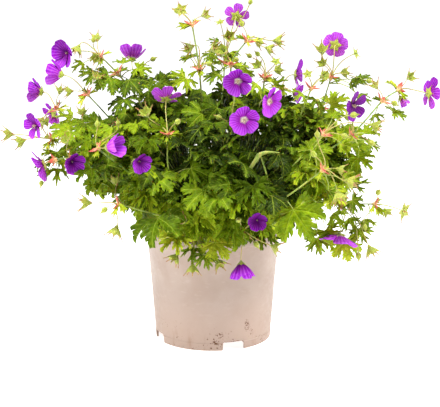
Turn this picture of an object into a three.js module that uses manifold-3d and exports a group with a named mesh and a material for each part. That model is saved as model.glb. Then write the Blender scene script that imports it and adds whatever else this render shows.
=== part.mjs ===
// A hardy geranium in a round nursery pot: the pot, its compost, leafy flowering stems, tufts of
// leaves from the crown, and the blooms. Millimetres, +Z up. The origin is the middle of the pot's
// flat foot, and the plant's front is towards -Y.
import * as THREE from "three";
import { mergeVertices } from "three/addons/utils/BufferGeometryUtils.js";
import Module from "manifold-3d";

const wasm = await Module();
wasm.setup();
const Solid = wasm.Manifold;

// ---- Driving dimensions ----
const POT = { height: 154, rim: 95, band: 9, lip: 4, foot: 79, wall: 2.2, sides: 28 };
// The floor is raised on the foot ring and on a hollow hub in its middle.
const FLOOR = { raised: 8, thick: 2.2, hub: 22, hubSlope: 5 };
const NOTCH = { count: 4, first: -69, width: 31, height: 12, depth: 13 };
const SOIL = { top: 134, crown: 6, gap: 0.3, side: 0.8, bump: 2.2, sides: 20, rootEnd: 118 };
const STEM = { radius: 1.8, sides: 3, branch: 0.9, petiole: 1.0, tip: 0.4, rootRadius: 2.6, sleeve: 0.7 };
const BLOOM = { petals: 5, thick: 1.0, column: 2.4, seat: 0.3 };
const SEPAL = { length: 9.5, waist: 3.4, thick: 1.1, offset: 1.6 };
const BUD = { radius: 3.3 };
const BRACT = { length: 9, radius: 2.3, lift: 5 };
const LEAF = { thick: 1.8, small: 27, droop: 0.16, wedge: 13, end: 0.93, heart: 0.06, clearance: 0.45 };
// The mound of leaves: an uneven dome round this middle, with its reach left, right, front, back and up.
// Below its middle it draws in, more at the sides than at the front.
const MOUND = { x: 10, z: 240, left: 180, right: 184, front: 146, back: 144, up: 98, down: 54 };
const TUCK = { front: 0.14, side: 0.58 };
const TUFTS = { count: 8, rootCircle: 44, crown: 7, leaves: 44, kept: 7, leaf: 41, sway: 1.3 };
// Where solids fuse, slivers thinner than this are merged away.
const SLIVER = 0.02;

// ---- Flowering stems ----
// Each node is one rooted stem with one or two branches. A branch lists the points that it passes
// through, the last ones being forks with bracts, and the twigs that leave those forks. A twig is
// [fork, what it carries, x, y, z, azimuth, elevation, width, depth]: azimuth 0 faces the front, 90
// the right and -90 the left, and the depth is how far a bloom's petals stand forward of its seat.
// A branch may also list its leaves, each as [point, x, y, z, size].
const STEMS = {
  stem_left_high: {
    root: [-22, -4],
    branches: [
      {
        through: [[-60, -14, 215], [-129, -30, 300], [-166, -45, 345]],
        forks: 2,
        twigs: [[1, "bloom", -197, -56, 373, -108, 8, 34, 19]],
        leaves: [
          [1, -134, -66, 304, 28],
          [0, -108, -44, 262, 34],
        ],
      },
      {
        through: [[-50, -2, 230], [-100, -5, 330], [-128, -10, 368], [-149, -20, 392]],
        forks: 2,
        twigs: [
          [1, "bloom", -193, -30, 399, -40, -4, 38, 12],
          [1, "cup", -178, -25, 408, -60, -60, 17],
          [1, "bud", -160, -15, 411, 20, 70, 12],
        ],
        leaves: [
          [3, -172, -34, 386, 20],
          [3, -158, -36, 372, 24],
          [2, -138, -30, 366, 28],
          [1, -118, -40, 338, 28],
          [1, -98, 24, 346, 28],
          [2, -122, 4, 380, 24],
          [2, -112, -26, 362, 28],
          [2, -102, -14, 376, 22],
        ],
      },
    ],
  },
  stem_left: {
    root: [-30, -14],
    branches: [
      {
        through: [[-70, -8, 220], [-126, -6, 264], [-174, 0, 285], [-212, 10, 317]],
        forks: 2,
        twigs: [
          [1, "bloom", -233, 20, 339, -104, 6, 34, 17],
          [1, "bloom", -221, 38, 307, -115, -30, 34, 5],
          [1, "cup", -231, 0, 306, -80, -50, 17],
        ],
        leaves: [
          [2, -190, -6, 308, 26],
          [2, -172, -30, 304, 30],
          [1, -150, -34, 294, 34],
          [1, -158, 36, 290, 32],
          [2, -196, 24, 282, 26],
        ],
      },
      {
        through: [[-70, -36, 215], [-124, -58, 253], [-183, -60, 285], [-212, -62, 288]],
        forks: 2,
        twigs: [
          [1, "bloom", -232, -75, 309, -45, -8, 36, 7],
          [1, "cup", -264, -70, 296, -90, 0, 18],
          [1, "cup", -250, -56, 286, -95, -20, 18],
        ],
        leaves: [
          [2, -188, -76, 302, 28],
          [3, -208, -48, 268, 27],
          [3, -224, -74, 262, 18],
          [1, -160, -84, 290, 32],
          [1, -136, -84, 284, 32],
          [1, -124, -30, 270, 30],
        ],
      },
    ],
  },
  stem_left_low: {
    root: [-22, -27],
    branches: [
      {
        through: [[-66, -58, 205], [-136, -80, 243], [-185, -95, 268], [-206, -92, 266]],
        forks: 2,
        twigs: [
          [1, "bloom", -221, -90, 260, -90, -25, 46, 9],
          [0, "bloom", -183, -116, 269, 30, -11, 29, 13],
          [1, "bud", -228, -62, 232, -40, -75, 12],
        ],
        leaves: [
          [3, -204, -80, 252, 25],
          [2, -186, -74, 257, 26],
          [1, -158, -112, 258, 27],
          [3, -216, -66, 244, 20],
          [1, -140, -104, 262, 30],
        ],
      },
      {
        through: [[-32, -66, 188], [-66, -126, 199], [-121, -128, 215]],
        forks: 1,
        twigs: [
          [0, "cup", -158, -128, 216, -88, 2, 20],
          [0, "cup", -124, -132, 186, -65, -70, 20],
        ],
        leaves: [
          [1, -70, -142, 199, 44],
          [2, -126, -120, 228, 24],
        ],
      },
    ],
  },
  stem_front_left: {
    root: [-12, -16],
    branches: [
      {
        through: [[-45, -65, 200], [-96, -96, 240], [-148, -112, 284]],
        forks: 2,
        twigs: [
          [1, "bloom", -138, -125, 288, 66, 12, 30, 23],
          [0, "bloom", -94, -150, 276, 30, -15, 27, 11],
          [1, "bud", -122, -104, 314, -10, 60, 12],
        ],
        leaves: [
          [1, -96, -124, 246, 32],
          [1, -70, -130, 250, 30],
          [2, -128, -100, 300, 22],
        ],
      },
      {
        through: [[-30, -66, 205], [-56, -116, 254], [-58, -114, 302]],
        forks: 1,
        twigs: [
          [0, "bloom", -61, -77, 343, 175, 50, 40, 9],
          [0, "cup", -84, -104, 326, -30, 50, 18],
        ],
        leaves: [
          [1, -78, -126, 262, 32],
          [1, -28, -128, 262, 30],
        ],
      },
    ],
  },
  stem_top_left: {
    root: [-14, 10],
    branches: [
      {
        through: [[-35, 22, 220], [-66, 22, 272], [-91, 30, 319], [-102, 30, 347]],
        forks: 1,
        twigs: [
          [0, "bloom", -111, 30, 380, 178, 60, 36, 19],
          [0, "bud", -86, 40, 380, 70, 25, 13],
        ],
        leaves: [
          [2, -88, 8, 342, 28],
          [3, -74, 40, 350, 28],
          [1, -88, 44, 284, 32],
        ],
      },
      {
        through: [[-12, -2, 240], [-14, -18, 307], [-18, -30, 376], [-27, -35, 436]],
        forks: 2,
        twigs: [
          [1, "star", -42, -40, 457, 10, 20, 22],
          [0, "cup", -26, -20, 407, -70, -20, 17],
          [0, "cup", -3, -40, 404, 60, 20, 17],
        ],
        leaves: [
          [2, -36, -40, 366, 26],
          [2, -6, -40, 388, 20],
          [1, -34, -26, 322, 30],
          [2, -30, -14, 390, 18],
          [2, 2, -30, 404, 18],
        ],
      },
    ],
  },
  stem_top: {
    root: [3, 14],
    branches: [
      {
        through: [[10, 22, 250], [12, 30, 312], [16, 40, 375]],
        forks: 1,
        twigs: [
          [0, "bloom", 32, 50, 439, 172, 12, 35, 5],
          [0, "bud", 50, 46, 456, 40, 60, 12],
          [0, "star", 10, 30, 433, -30, 60, 16],
          [0, "cup", 21, 32, 412, 10, 20, 17],
        ],
        leaves: [
          [2, 22, 22, 392, 20],
          [2, 2, 34, 388, 20],
          [2, 8, 34, 406, 18],
          [1, -6, 18, 330, 28],
          [2, 34, 44, 366, 24],
        ],
      },
    ],
  },
  stem_top_front: {
    root: [4, -8],
    branches: [
      {
        through: [[20, -35, 240], [29, -58, 322], [24, -50, 384], [44, -45, 416]],
        forks: 2,
        twigs: [
          [1, "cup", 81, -30, 415, 85, 0, 18],
          [1, "cup", 70, -48, 408, 75, -15, 16],
        ],
        leaves: [
          [2, 8, -46, 372, 24],
          [1, 6, -64, 330, 28],
          [2, 40, -40, 376, 20],
        ],
      },
      {
        through: [[8, -55, 200], [14, -82, 262], [22, -88, 308]],
        forks: 1,
        twigs: [
          [0, "bloom", 40, -135, 327, 8, -14, 39, 7],
          [0, "bloom", 33, -92, 371, -4, -19, 38, 10],
        ],
        leaves: [
          [1, -8, -96, 280, 30],
          [1, 34, -100, 268, 30],
        ],
      },
    ],
  },
  stem_top_right: {
    root: [14, 0],
    branches: [
      {
        through: [[35, -24, 230], [58, -42, 300], [69, -40, 366]],
        forks: 2,
        twigs: [
          [1, "star", 83, -55, 390, 20, 50, 18],
          [1, "bud", 52, -20, 392, -70, 30, 12],
          [1, "bud", 62, -36, 396, -60, 40, 12],
          [0, "bloom", 72, -94, 344, 50, -10, 40, 8],
        ],
        leaves: [
          [2, 58, -60, 362, 26],
          [2, 82, -24, 354, 22],
          [1, 44, -66, 318, 28],
        ],
      },
      {
        through: [[45, 25, 235], [79, 40, 290], [94, 50, 338]],
        forks: 1,
        twigs: [
          [0, "bloom", 114, 60, 357, 96, -6, 46, 7],
          [0, "bloom", 110, 22, 339, 70, -10, 28, 10],
        ],
        leaves: [
          [2, 84, 30, 330, 30],
          [1, 98, 56, 300, 30],
        ],
      },
    ],
  },
  stem_right_high: {
    root: [26, 6],
    branches: [
      {
        through: [[60, 4, 220], [119, 0, 285], [145, -5, 320], [159, -10, 362]],
        forks: 2,
        twigs: [
          [1, "bloom", 164, -12, 407, 170, 3, 34, 5],
          [1, "star", 192, 0, 394, 60, 20, 18],
          [1, "cup", 145, -40, 399, -10, 60, 18],
          [1, "bud", 206, -16, 360, 70, -10, 13],
        ],
        leaves: [
          [3, 184, -16, 356, 22],
          [3, 194, -6, 358, 22],
          [3, 194, -26, 342, 24],
          [2, 140, -22, 334, 26],
          [2, 160, 4, 324, 28],
          [1, 112, -20, 310, 32],
          [1, 134, 14, 298, 32],
        ],
      },
      {
        through: [[72, -28, 232], [108, -52, 300], [130, -54, 354]],
        forks: 1,
        twigs: [
          [0, "star", 125, -58, 374, -20, 40, 17],
          [0, "cup", 142, -62, 370, 50, 30, 15],
        ],
        leaves: [[2, 118, -66, 350, 20]],
      },
    ],
  },
  stem_right: {
    root: [29, -9],
    branches: [
      {
        through: [[70, -34, 215], [116, -78, 254], [180, -92, 299], [222, -72, 340], [245, -52, 352]],
        forks: 3,
        twigs: [
          [2, "bloom", 285, -55, 349, 114, -8, 43, 5],
          [2, "bloom", 249, -44, 342, 60, -50, 14, 14],
          [0, "bloom", 180, -108, 341, 46, -8, 40, 8],
        ],
        leaves: [
          [3, 238, -60, 324, 22],
          [3, 214, -62, 322, 18],
          [2, 202, -56, 294, 28],
          [2, 206, -60, 282, 20],
          [2, 194, -58, 262, 27],
          [2, 186, -36, 274, 30],
          [1, 138, -48, 262, 30],
        ],
      },
      {
        through: [[76, -100, 228], [142, -124, 305]],
        forks: 1,
        twigs: [
          [0, "bud", 176, -134, 332, 60, 10, 15],
          [0, "cup", 206, -100, 314, 80, -15, 19],
        ],
        leaves: [
          [1, 168, -122, 291, 24],
          [1, 156, -94, 322, 20],
          [1, 128, -132, 286, 24],
        ],
      },
    ],
  },
  stem_right_low: {
    root: [26, -24],
    branches: [
      {
        through: [[75, -48, 198], [130, -62, 206], [169, -72, 203], [214, -80, 204]],
        forks: 2,
        twigs: [
          [1, "star", 252, -85, 196, 50, -10, 30],
          [1, "bud", 200, -92, 180, 40, -70, 13],
          [0, "bloom", 168, -96, 167, -50, -74, 52, 12],
          [0, "cup", 206, -102, 152, 60, -60, 20],
          [0, "bud", 192, -104, 144, 10, -70, 15],
        ],
        leaves: [
          [2, 186, -78, 229, 25],
          [2, 180, -88, 187, 25],
          [2, 184, -84, 210, 22],
          [1, 152, -88, 224, 30],
          [1, 150, -72, 166, 28],
          [1, 138, -90, 160, 24],
          [2, 172, -56, 236, 28],
          [2, 176, -76, 152, 27],
          [2, 194, -88, 172, 22],
          [3, 206, -70, 182, 20],
          [1, 158, -100, 196, 26],
        ],
      },
      {
        through: [[55, -72, 196], [92, -134, 224], [140, -144, 262]],
        forks: 1,
        twigs: [
          [0, "cup", 170, -150, 250, 80, -10, 20],
          [0, "cup", 160, -150, 236, 30, -60, 20],
          [0, "bud", 134, -138, 304, -10, 70, 14],
        ],
        leaves: [
          [1, 104, -146, 211, 44],
          [2, 166, -132, 248, 26],
          [1, 76, -148, 230, 30],
          [2, 128, -134, 284, 24],
          [2, 150, -128, 232, 26],
        ],
      },
    ],
  },
  stem_front_low: {
    root: [4, -30],
    branches: [
      {
        through: [[22, -75, 188], [38, -118, 180]],
        forks: 1,
        twigs: [
          [0, "bloom", 57, -150, 199, 5, -10, 25, 9],
          [0, "cup", 76, -140, 162, 80, -20, 18],
          [0, "bloom", 37, -142, 141, 10, -66, 33, 21],
        ],
        leaves: [
          [0, 50, -108, 192, 34],
          [0, 20, -116, 202, 32],
          [0, 66, -104, 172, 28],
          [1, 64, -130, 186, 26],
        ],
      },
      {
        through: [[-8, -72, 188], [-22, -120, 174]],
        forks: 1,
        twigs: [
          [0, "cup", -26, -135, 136, 0, -80, 18],
          [0, "cup", -46, -130, 148, -60, -50, 18],
          [0, "cup", 6, -134, 142, 40, -45, 18],
        ],
        leaves: [
          [0, -36, -116, 192, 34],
          [1, -24, -134, 158, 26],
          [1, -10, -142, 150, 22],
          [1, -46, -130, 170, 28],
          [1, 2, -132, 164, 28],
          [0, -2, -112, 184, 32],
        ],
      },
    ],
  },
  stem_back_left: {
    root: [-22, 26],
    branches: [
      {
        through: [[-50, 58, 205], [-95, 100, 245]],
        forks: 1,
        twigs: [
          [0, "bloom", -122, 142, 262, -145, 20, 40, 7],
          [0, "bloom", -78, 150, 280, 175, 25, 40, 9],
          [0, "cup", -142, 118, 235, -110, 0, 18],
        ],
      },
    ],
  },
  stem_back: {
    root: [0, 32],
    branches: [
      {
        through: [[4, 75, 212], [5, 125, 250]],
        forks: 1,
        twigs: [
          [0, "bloom", -14, 165, 268, -168, 15, 38, 12],
          [0, "bloom", 36, 165, 238, 160, 0, 32, 18],
          [0, "cup", 8, 160, 214, 180, -40, 18],
        ],
      },
    ],
  },
  stem_back_right: {
    root: [24, 24],
    branches: [
      {
        through: [[60, 58, 208], [112, 98, 240]],
        forks: 1,
        twigs: [
          [0, "bloom", 142, 134, 256, 140, 15, 42, 7],
          [0, "bloom", 96, 150, 276, 170, 30, 38, 9],
          [0, "cup", 166, 108, 226, 110, 0, 18],
        ],
      },
    ],
  },
};

// ---- Small helpers ----
const rad = THREE.MathUtils.degToRad;
const vec = (p) => new THREE.Vector3(...p);
const fraction = (x) => x - Math.floor(x);
// A repeatable draw from 0 to 1 for leaf i and purpose k.
const draw = (i, k) => fraction(Math.sin(i * 12.9898 + k * 78.233) * 43758.5453);
const mix = THREE.MathUtils.lerp;

function facing(azimuth, elevation) {
  const a = rad(azimuth);
  const e = rad(elevation);
  return new THREE.Vector3(Math.sin(a) * Math.cos(e), -Math.cos(a) * Math.cos(e), Math.sin(e));
}

// A matrix that stands +Z along the axis, with +X as near as it can be to the hint.
function stand(place, axis, hint) {
  const z = axis.clone().normalize();
  const x = hint.clone().addScaledVector(z, -hint.dot(z)).normalize();
  return new THREE.Matrix4().makeBasis(x, z.clone().cross(x), z).setPosition(place);
}

// Any direction square to the axis.
const across = (axis) => {
  const side = Math.abs(axis.z) < 0.8 ? new THREE.Vector3(0, 0, 1) : new THREE.Vector3(1, 0, 0);
  return side.cross(axis).normalize();
};

function solidOf(geometry) {
  const bare = geometry.clone();
  bare.deleteAttribute("normal");
  bare.deleteAttribute("uv");
  const merged = mergeVertices(bare, 1e-4);
  const mesh = new wasm.Mesh({
    numProp: 3,
    vertProperties: merged.attributes.position.array,
    triVerts: new Uint32Array(merged.index.array),
  });
  return new Solid(mesh);
}

function geometryOf(solid) {
  const mesh = solid.getMesh();
  return new THREE.BufferGeometry()
    .setAttribute("position", new THREE.BufferAttribute(mesh.vertProperties, 3))
    .setIndex(new THREE.BufferAttribute(mesh.triVerts, 1));
}

// A round of `count` outline points between two poles: a sphere of few rings whose vertices are
// moved. place(k, level) gives the point: level is 1 at the top pole, -1 at the bottom pole.
function rounded(count, rings, place) {
  const geometry = new THREE.SphereGeometry(1, count, rings).rotateX(Math.PI / 2);
  const at = geometry.attributes.position;
  for (let i = 0; i < at.count; i++) {
    const turn = Math.atan2(at.getY(i), at.getX(i)) / (2 * Math.PI);
    const k = Math.round((turn + 1.5) * count) % count;
    at.setXYZ(i, ...place(k, at.getZ(i)));
  }
  return geometry;
}

// A rod with flat sides that passes exactly through its points, thinning from one radius to another.
function rod(points, sides, thick, thin) {
  const last = points.length - 1;
  const section = new THREE.Shape();
  for (let k = 0; k < sides; k++) {
    const turn = (2 * Math.PI * k) / sides;
    section[k ? "lineTo" : "moveTo"](Math.cos(turn), Math.sin(turn));
  }
  const geometry = new THREE.ExtrudeGeometry(section, { steps: last, depth: last, bevelEnabled: false });
  let side = across(points[1].clone().sub(points[0]).normalize());
  const frames = points.map((point, i) => {
    const way = points[Math.min(i + 1, last)].clone().sub(points[Math.max(i - 1, 0)]).normalize();
    side = side.addScaledVector(way, -side.dot(way)).normalize();
    const radius = mix(thick, thin, i / last);
    return stand(point, way, side).scale(new THREE.Vector3(radius, radius, 1));
  });
  const at = geometry.attributes.position;
  const moved = new THREE.Vector3();
  for (let i = 0; i < at.count; i++) {
    moved.set(at.getX(i), at.getY(i), 0).applyMatrix4(frames[Math.round(at.getZ(i))]);
    at.setXYZ(i, moved.x, moved.y, moved.z);
  }
  return solidOf(geometry);
}

// ---- Pot and compost ----
const outerRadius = (z) => mix(POT.foot, POT.rim - POT.lip, z / (POT.height - POT.band));
const innerRadius = (z) => outerRadius(z) - POT.wall;

function lathe(profile, sides) {
  const points = profile.map(([r, z]) => new THREE.Vector2(r, z));
  return new THREE.LatheGeometry(points, sides).rotateX(Math.PI / 2);
}

// The foot ring has notches that rise past the floor and cut its edge, as drain holes.
function pot() {
  const bandBottom = POT.height - POT.band;
  const floorTop = FLOOR.raised + FLOOR.thick;
  const hubInside = FLOOR.hub - FLOOR.thick;
  const profile = [
    [0, 0],
    [FLOOR.hub, 0],
    [FLOOR.hub + FLOOR.hubSlope, FLOOR.raised],
    [innerRadius(0), FLOOR.raised],
    [innerRadius(0), 0],
    [POT.foot, 0],
    [outerRadius(bandBottom), bandBottom],
    [POT.rim, bandBottom + 0.8],
    [POT.rim, POT.height],
    [innerRadius(POT.height) + 1, POT.height],
    [innerRadius(bandBottom), bandBottom - 2],
    [innerRadius(floorTop), floorTop],
    [hubInside + FLOOR.hubSlope, floorTop],
    [hubInside, FLOOR.thick],
    [0, FLOOR.thick],
  ];
  let body = solidOf(lathe(profile, POT.sides));
  for (let k = 0; k < NOTCH.count; k++) {
    const angle = NOTCH.first + (360 / NOTCH.count) * k - 90;
    const depth = NOTCH.depth + 9;
    const box = new THREE.BoxGeometry(depth, NOTCH.width, NOTCH.height + 1);
    box.translate(POT.foot - NOTCH.depth + depth / 2, 0, (NOTCH.height - 1) / 2);
    body = body.subtract(solidOf(box.rotateZ(rad(angle))));
  }
  return body;
}

function compost(roots) {
  const bottom = FLOOR.raised + FLOOR.thick + SOIL.gap;
  const edge = (z) => innerRadius(z) - SOIL.side;
  const hubInside = FLOOR.hub - FLOOR.thick - SOIL.side;
  const profile = [
    [0, FLOOR.thick + SOIL.gap],
    [hubInside, FLOOR.thick + SOIL.gap],
    [hubInside + FLOOR.hubSlope, bottom],
    [edge(bottom), bottom],
    [edge(SOIL.top), SOIL.top],
    [60, SOIL.top + 1],
    [0, SOIL.top + SOIL.crown],
  ];
  const bed = lathe(profile, SOIL.sides);
  const at = bed.attributes.position;
  for (let i = 0; i < at.count; i++) {
    const r = Math.hypot(at.getX(i), at.getY(i));
    if (at.getZ(i) < SOIL.top + 0.5 || r < 1) continue;
    const wave = Math.sin(at.getX(i) * 0.31) * Math.cos(at.getY(i) * 0.27 + 1);
    at.setZ(i, at.getZ(i) + SOIL.bump * wave);
  }
  let body = solidOf(bed);
  const high = SOIL.top + SOIL.crown + 8;
  const low = SOIL.rootEnd - SOIL.gap;
  for (const [x, y] of roots) {
    const width = 2 * (STEM.rootRadius + STEM.sleeve);
    const hole = new THREE.BoxGeometry(width, width, high - low);
    body = body.subtract(solidOf(hole.translate(x, y, (high + low) / 2)));
  }
  return body;
}

// ---- Blooms, sepals, buds and bracts, each standing along +Z with its seat at the origin ----
// One bloom: five round petals as one bowl of the given depth, cut in between them, with a column in
// its middle.
function corolla(width, depth) {
  const each = 5;
  const spread = [0, 11, 27, 45, 61];
  const reach = [0.44, 0.86, 1.0, 1.0, 0.86];
  const radius = width / 2;
  return solidOf(
    rounded(BLOOM.petals * each, 2, (k, level) => {
      if (Math.abs(level) > 0.5) return [0, 0, level > 0 ? BLOOM.column : 0];
      const turn = rad(Math.floor(k / each) * (360 / BLOOM.petals) + spread[k % each]);
      const out = radius * reach[k % each];
      return [out * Math.cos(turn), out * Math.sin(turn), BLOOM.thick + depth * reach[k % each]];
    }),
  );
}

// Five pointed sepals in a star round a beak. lift is how far they close, from 0, flat, to 1, shut.
function sepals(length, lift, beak) {
  const open = Math.cos(lift * 1.4);
  const rise = Math.sin(lift * 1.4);
  return solidOf(
    rounded(10, 2, (k, level) => {
      if (level > 0.5) return [0, 0, beak];
      if (level < -0.5) return [SEPAL.offset * open, 0, -2 * SEPAL.thick];
      const turn = rad(36 * k);
      const reach = k % 2 ? length : SEPAL.waist;
      return [reach * open * Math.cos(turn), reach * open * Math.sin(turn), reach * rise - SEPAL.thick];
    }),
  );
}

function budSolid(length) {
  return solidOf(
    rounded(5, 2, (k, level) => {
      if (level > 0.5) return [0, 0, length];
      if (level < -0.5) return [1.5, 0, -1.5];
      const turn = rad(72 * k);
      return [BUD.radius * Math.cos(turn), BUD.radius * Math.sin(turn), length * 0.4];
    }),
  );
}

// A pair of bracts that spread along +Z and -Z from a fork, with its swollen joint between them.
function bractPair() {
  return solidOf(
    rounded(3, 2, (k, level) => {
      if (Math.abs(level) > 0.5) return [BRACT.lift, 0, level * BRACT.length];
      return [BRACT.radius * Math.cos(rad(120 * k)), BRACT.radius * Math.sin(rad(120 * k)), 0];
    }),
  );
}

// What a twig carries besides petals. A deep bloom's sepals stand up with it.
function twigEnd(kind, width, depth) {
  if (kind === "bloom") return sepals(SEPAL.length, Math.min(0.2 + (0.64 * depth) / width, 0.7), 0);
  if (kind === "bud") return budSolid(width);
  if (kind === "star") return sepals(width / 2, 0.1, 6);
  return sepals(width, 0.72, width * 1.1);
}

// ---- Leaves: a palmate blade lying in XY, its stalk's end at the origin, its tip along +X ----
// Each outline point is [angle in degrees, reach, height], as shares of the leaf's length.
function palmateOutline(lobes, angle) {
  const half = (lobes - 1) / 2;
  const points = [];
  for (let k = -half; k <= half; k++) {
    const axis = k * angle;
    const reach = 1 - 0.065 * k * k;
    points.push([axis - angle / 2, k > -half ? 0.4 * reach : 0.3, 0]);
    points.push([axis - LEAF.wedge, LEAF.end * reach, -LEAF.droop]);
    points.push([axis + LEAF.wedge, LEAF.end * reach, -LEAF.droop]);
  }
  points.push([half * angle + angle / 2, 0.3, 0]);
  if (half < 2) points.push([180, 0.14, 0]);
  return points;
}
const LARGE = palmateOutline(5, 50);
const SMALL = palmateOutline(3, 52);

function blade(outline, size) {
  return rounded(outline.length, 2, (k, level) => {
    if (Math.abs(level) > 0.5) return [LEAF.heart * size, 0, (level * LEAF.thick) / 2];
    const [angle, reach, height] = outline[k];
    return [size * reach * Math.cos(rad(angle)), size * reach * Math.sin(rad(angle)), size * height];
  });
}

// A leaf's stalk leaves `from`, passes `over` and meets the blade from below.
function addLeaf(node, outline, size, from, over, at, normal, tip) {
  const reach = from.distanceTo(at);
  const steps = reach > 60 ? 3 : reach > 26 ? 2 : 1;
  const bend = new THREE.QuadraticBezierCurve3(from, over, at).getPoints(steps);
  const face = solidOf(blade(outline, size).applyMatrix4(stand(at, normal, tip)));
  const grown = rod(bend, 3, STEM.petiole, STEM.tip).add(face);
  if (!isClear(node, grown, face)) return false;
  put(node, grown, face);
  return true;
}

// ---- Building the plant ----
const nodes = new Map(); // node name to the solids that it is fused from
const placed = []; // every solid that stands, with its node and its box

function put(node, solid, face) {
  if (!nodes.has(node)) nodes.set(node, []);
  nodes.get(node).push(solid);
  placed.push({ node, solid, face, box: solid.boundingBox() });
}

const apart = (a, b, gap) =>
  [0, 1, 2].some((i) => a.min[i] > b.max[i] + gap || b.min[i] > a.max[i] + gap);

const gapOver = (a, b, gap) => a.minGap(b, gap * 2) > gap;

// Whether a leaf stays clear of every other node, and its blade of the blades and stalks of its own.
function isClear(node, solid, face) {
  const box = solid.boundingBox();
  return placed.every((other) => {
    if (apart(box, other.box, LEAF.clearance)) return true;
    if (other.node !== node) return gapOver(solid, other.solid, LEAF.clearance);
    return gapOver(face, other.solid, 0.1) && (!other.face || gapOver(solid, other.face, 0.1));
  });
}

const blooms = []; // each bloom's place and radius
let bloomCount = 0;

function growTwig(node, fork, along, twig) {
  const [, kind, x, y, z, azimuth, elevation, width, depth] = twig;
  const end = new THREE.Vector3(x, y, z);
  const out = facing(azimuth, elevation);
  const reach = fork.distanceTo(end);
  const start = fork.clone().addScaledVector(along, reach * 0.35);
  const back = end.clone().addScaledVector(out, -Math.min(reach * 0.4, 22));
  const top = end.clone().addScaledVector(out, kind === "bloom" ? -SEPAL.thick : 1);
  const path = new THREE.CubicBezierCurve3(fork, start, back, top).getPoints(2);
  put(node, rod(path, 3, STEM.branch, STEM.tip));
  const frame = stand(end, out, across(out));
  put(node, twigEnd(kind, width, depth).transform(frame.elements));
  if (kind !== "bloom") return;
  bloomCount += 1;
  const seat = frame.clone().setPosition(end.clone().addScaledVector(out, BLOOM.seat));
  const bloom = `bloom_${String(bloomCount).padStart(2, "0")}`;
  put(bloom, corolla(width, depth).transform(seat.elements));
  blooms.push({ at: end.clone().addScaledVector(out, depth), radius: width / 2 });
}

function growBranch(node, root, branch, index) {
  const points = [new THREE.Vector3(...root, SOIL.top + 12), ...branch.through.map(vec)];
  put(node, rod(points, STEM.sides, STEM.radius, STEM.radius * 0.5));
  const first = points.length - branch.forks;
  const ways = points.map((p, i) => p.clone().sub(points[Math.max(0, i - 1)]).normalize());
  for (let f = 0; f < branch.forks; f++) {
    const way = ways[first + f];
    const side = across(way).applyAxisAngle(way, index * 2.1 + f);
    put(node, bractPair().transform(stand(points[first + f], side, way).elements));
  }
  branch.twigs.forEach((twig) => growTwig(node, points[first + twig[0]], ways[first + twig[0]], twig));
  return { points, ways, first };
}

// Whether a leaf of this size would hide or cut into a bloom.
function spoilsBloom(at, size) {
  return blooms.some((b) => b.at.distanceTo(at) < b.radius + size * 0.7);
}

// The leaves that a branch lists.
function listedLeaves(node, grown, leaves, seed) {
  const { points, ways } = grown;
  leaves.forEach(([point, x, y, z, size], i) => {
    const id = seed * 17 + i;
    const at = new THREE.Vector3(x, y, z);
    const from = points[point + 1].clone().addScaledVector(ways[point + 1], -4 - 4 * (i % 2));
    const out = at.clone().sub(from).normalize();
    const over = from.clone().lerp(at, 0.5).addScaledVector(ways[point + 1], from.distanceTo(at) * 0.25);
    const normal = new THREE.Vector3(draw(id, 3) - 0.5, -0.2 - 0.7 * draw(id, 4), 0.9);
    out.z -= 0.35;
    addLeaf(node, size < LEAF.small ? SMALL : LARGE, size, from, over, at, normal, out);
  });
}

// One or two leaves below each bend and fork of a branch, large below and small above.
function branchLeaves(node, grown, seed) {
  const { points, ways, first } = grown;
  for (let p = 1; p < points.length; p++) {
    const forked = p >= first;
    const size = forked ? mix(19, 25, draw(seed, p)) : mix(27, 34, draw(seed, p));
    const odd = seed % 2;
    const leaves = p === first ? 2 - odd : odd;
    for (let side = 0; side < leaves; side++) {
      const from = points[p].clone().addScaledVector(ways[p], -5 - 4 * side);
      const id = seed * 31 + p * 7 + side;
      const turn = Math.PI * side + 1.3 * p + draw(id, 1);
      const out = across(ways[p]).applyAxisAngle(ways[p], turn);
      out.z += 0.35;
      out.normalize();
      const reach = forked ? mix(13, 22, draw(id, 2)) : mix(30, 52, draw(id, 2));
      const at = from.clone().addScaledVector(out, reach).addScaledVector(ways[p], reach * 0.4);
      const over = from.clone().addScaledVector(out, reach * 0.5).addScaledVector(ways[p], reach * 0.5);
      const normal = new THREE.Vector3(draw(id, 3) - 0.5, -draw(id, 4) * 0.9, 1).addScaledVector(out, 0.25);
      const tip = out.clone();
      tip.z -= 0.35;
      if (spoilsBloom(at, size)) continue;
      addLeaf(node, forked ? SMALL : LARGE, size, from, over, at, normal, tip);
    }
  }
}

// The dome's surface at an azimuth and a height from -1, its skirt, to 1, its top. share draws it in.
function moundPoint(azimuth, height, share) {
  const way = facing(azimuth, 0);
  const tuck = mix(TUCK.front, TUCK.side, Math.abs(way.x));
  const reach = share * (height < 0 ? 1 + tuck * height : Math.sqrt(1 - height ** 3));
  const wide = way.x < 0 ? MOUND.left : MOUND.right;
  const deep = way.y < 0 ? MOUND.front : MOUND.back;
  const tall = height < 0 ? MOUND.down : MOUND.up;
  return new THREE.Vector3(MOUND.x + way.x * wide * reach, way.y * deep * reach, MOUND.z + tall * height);
}

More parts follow.
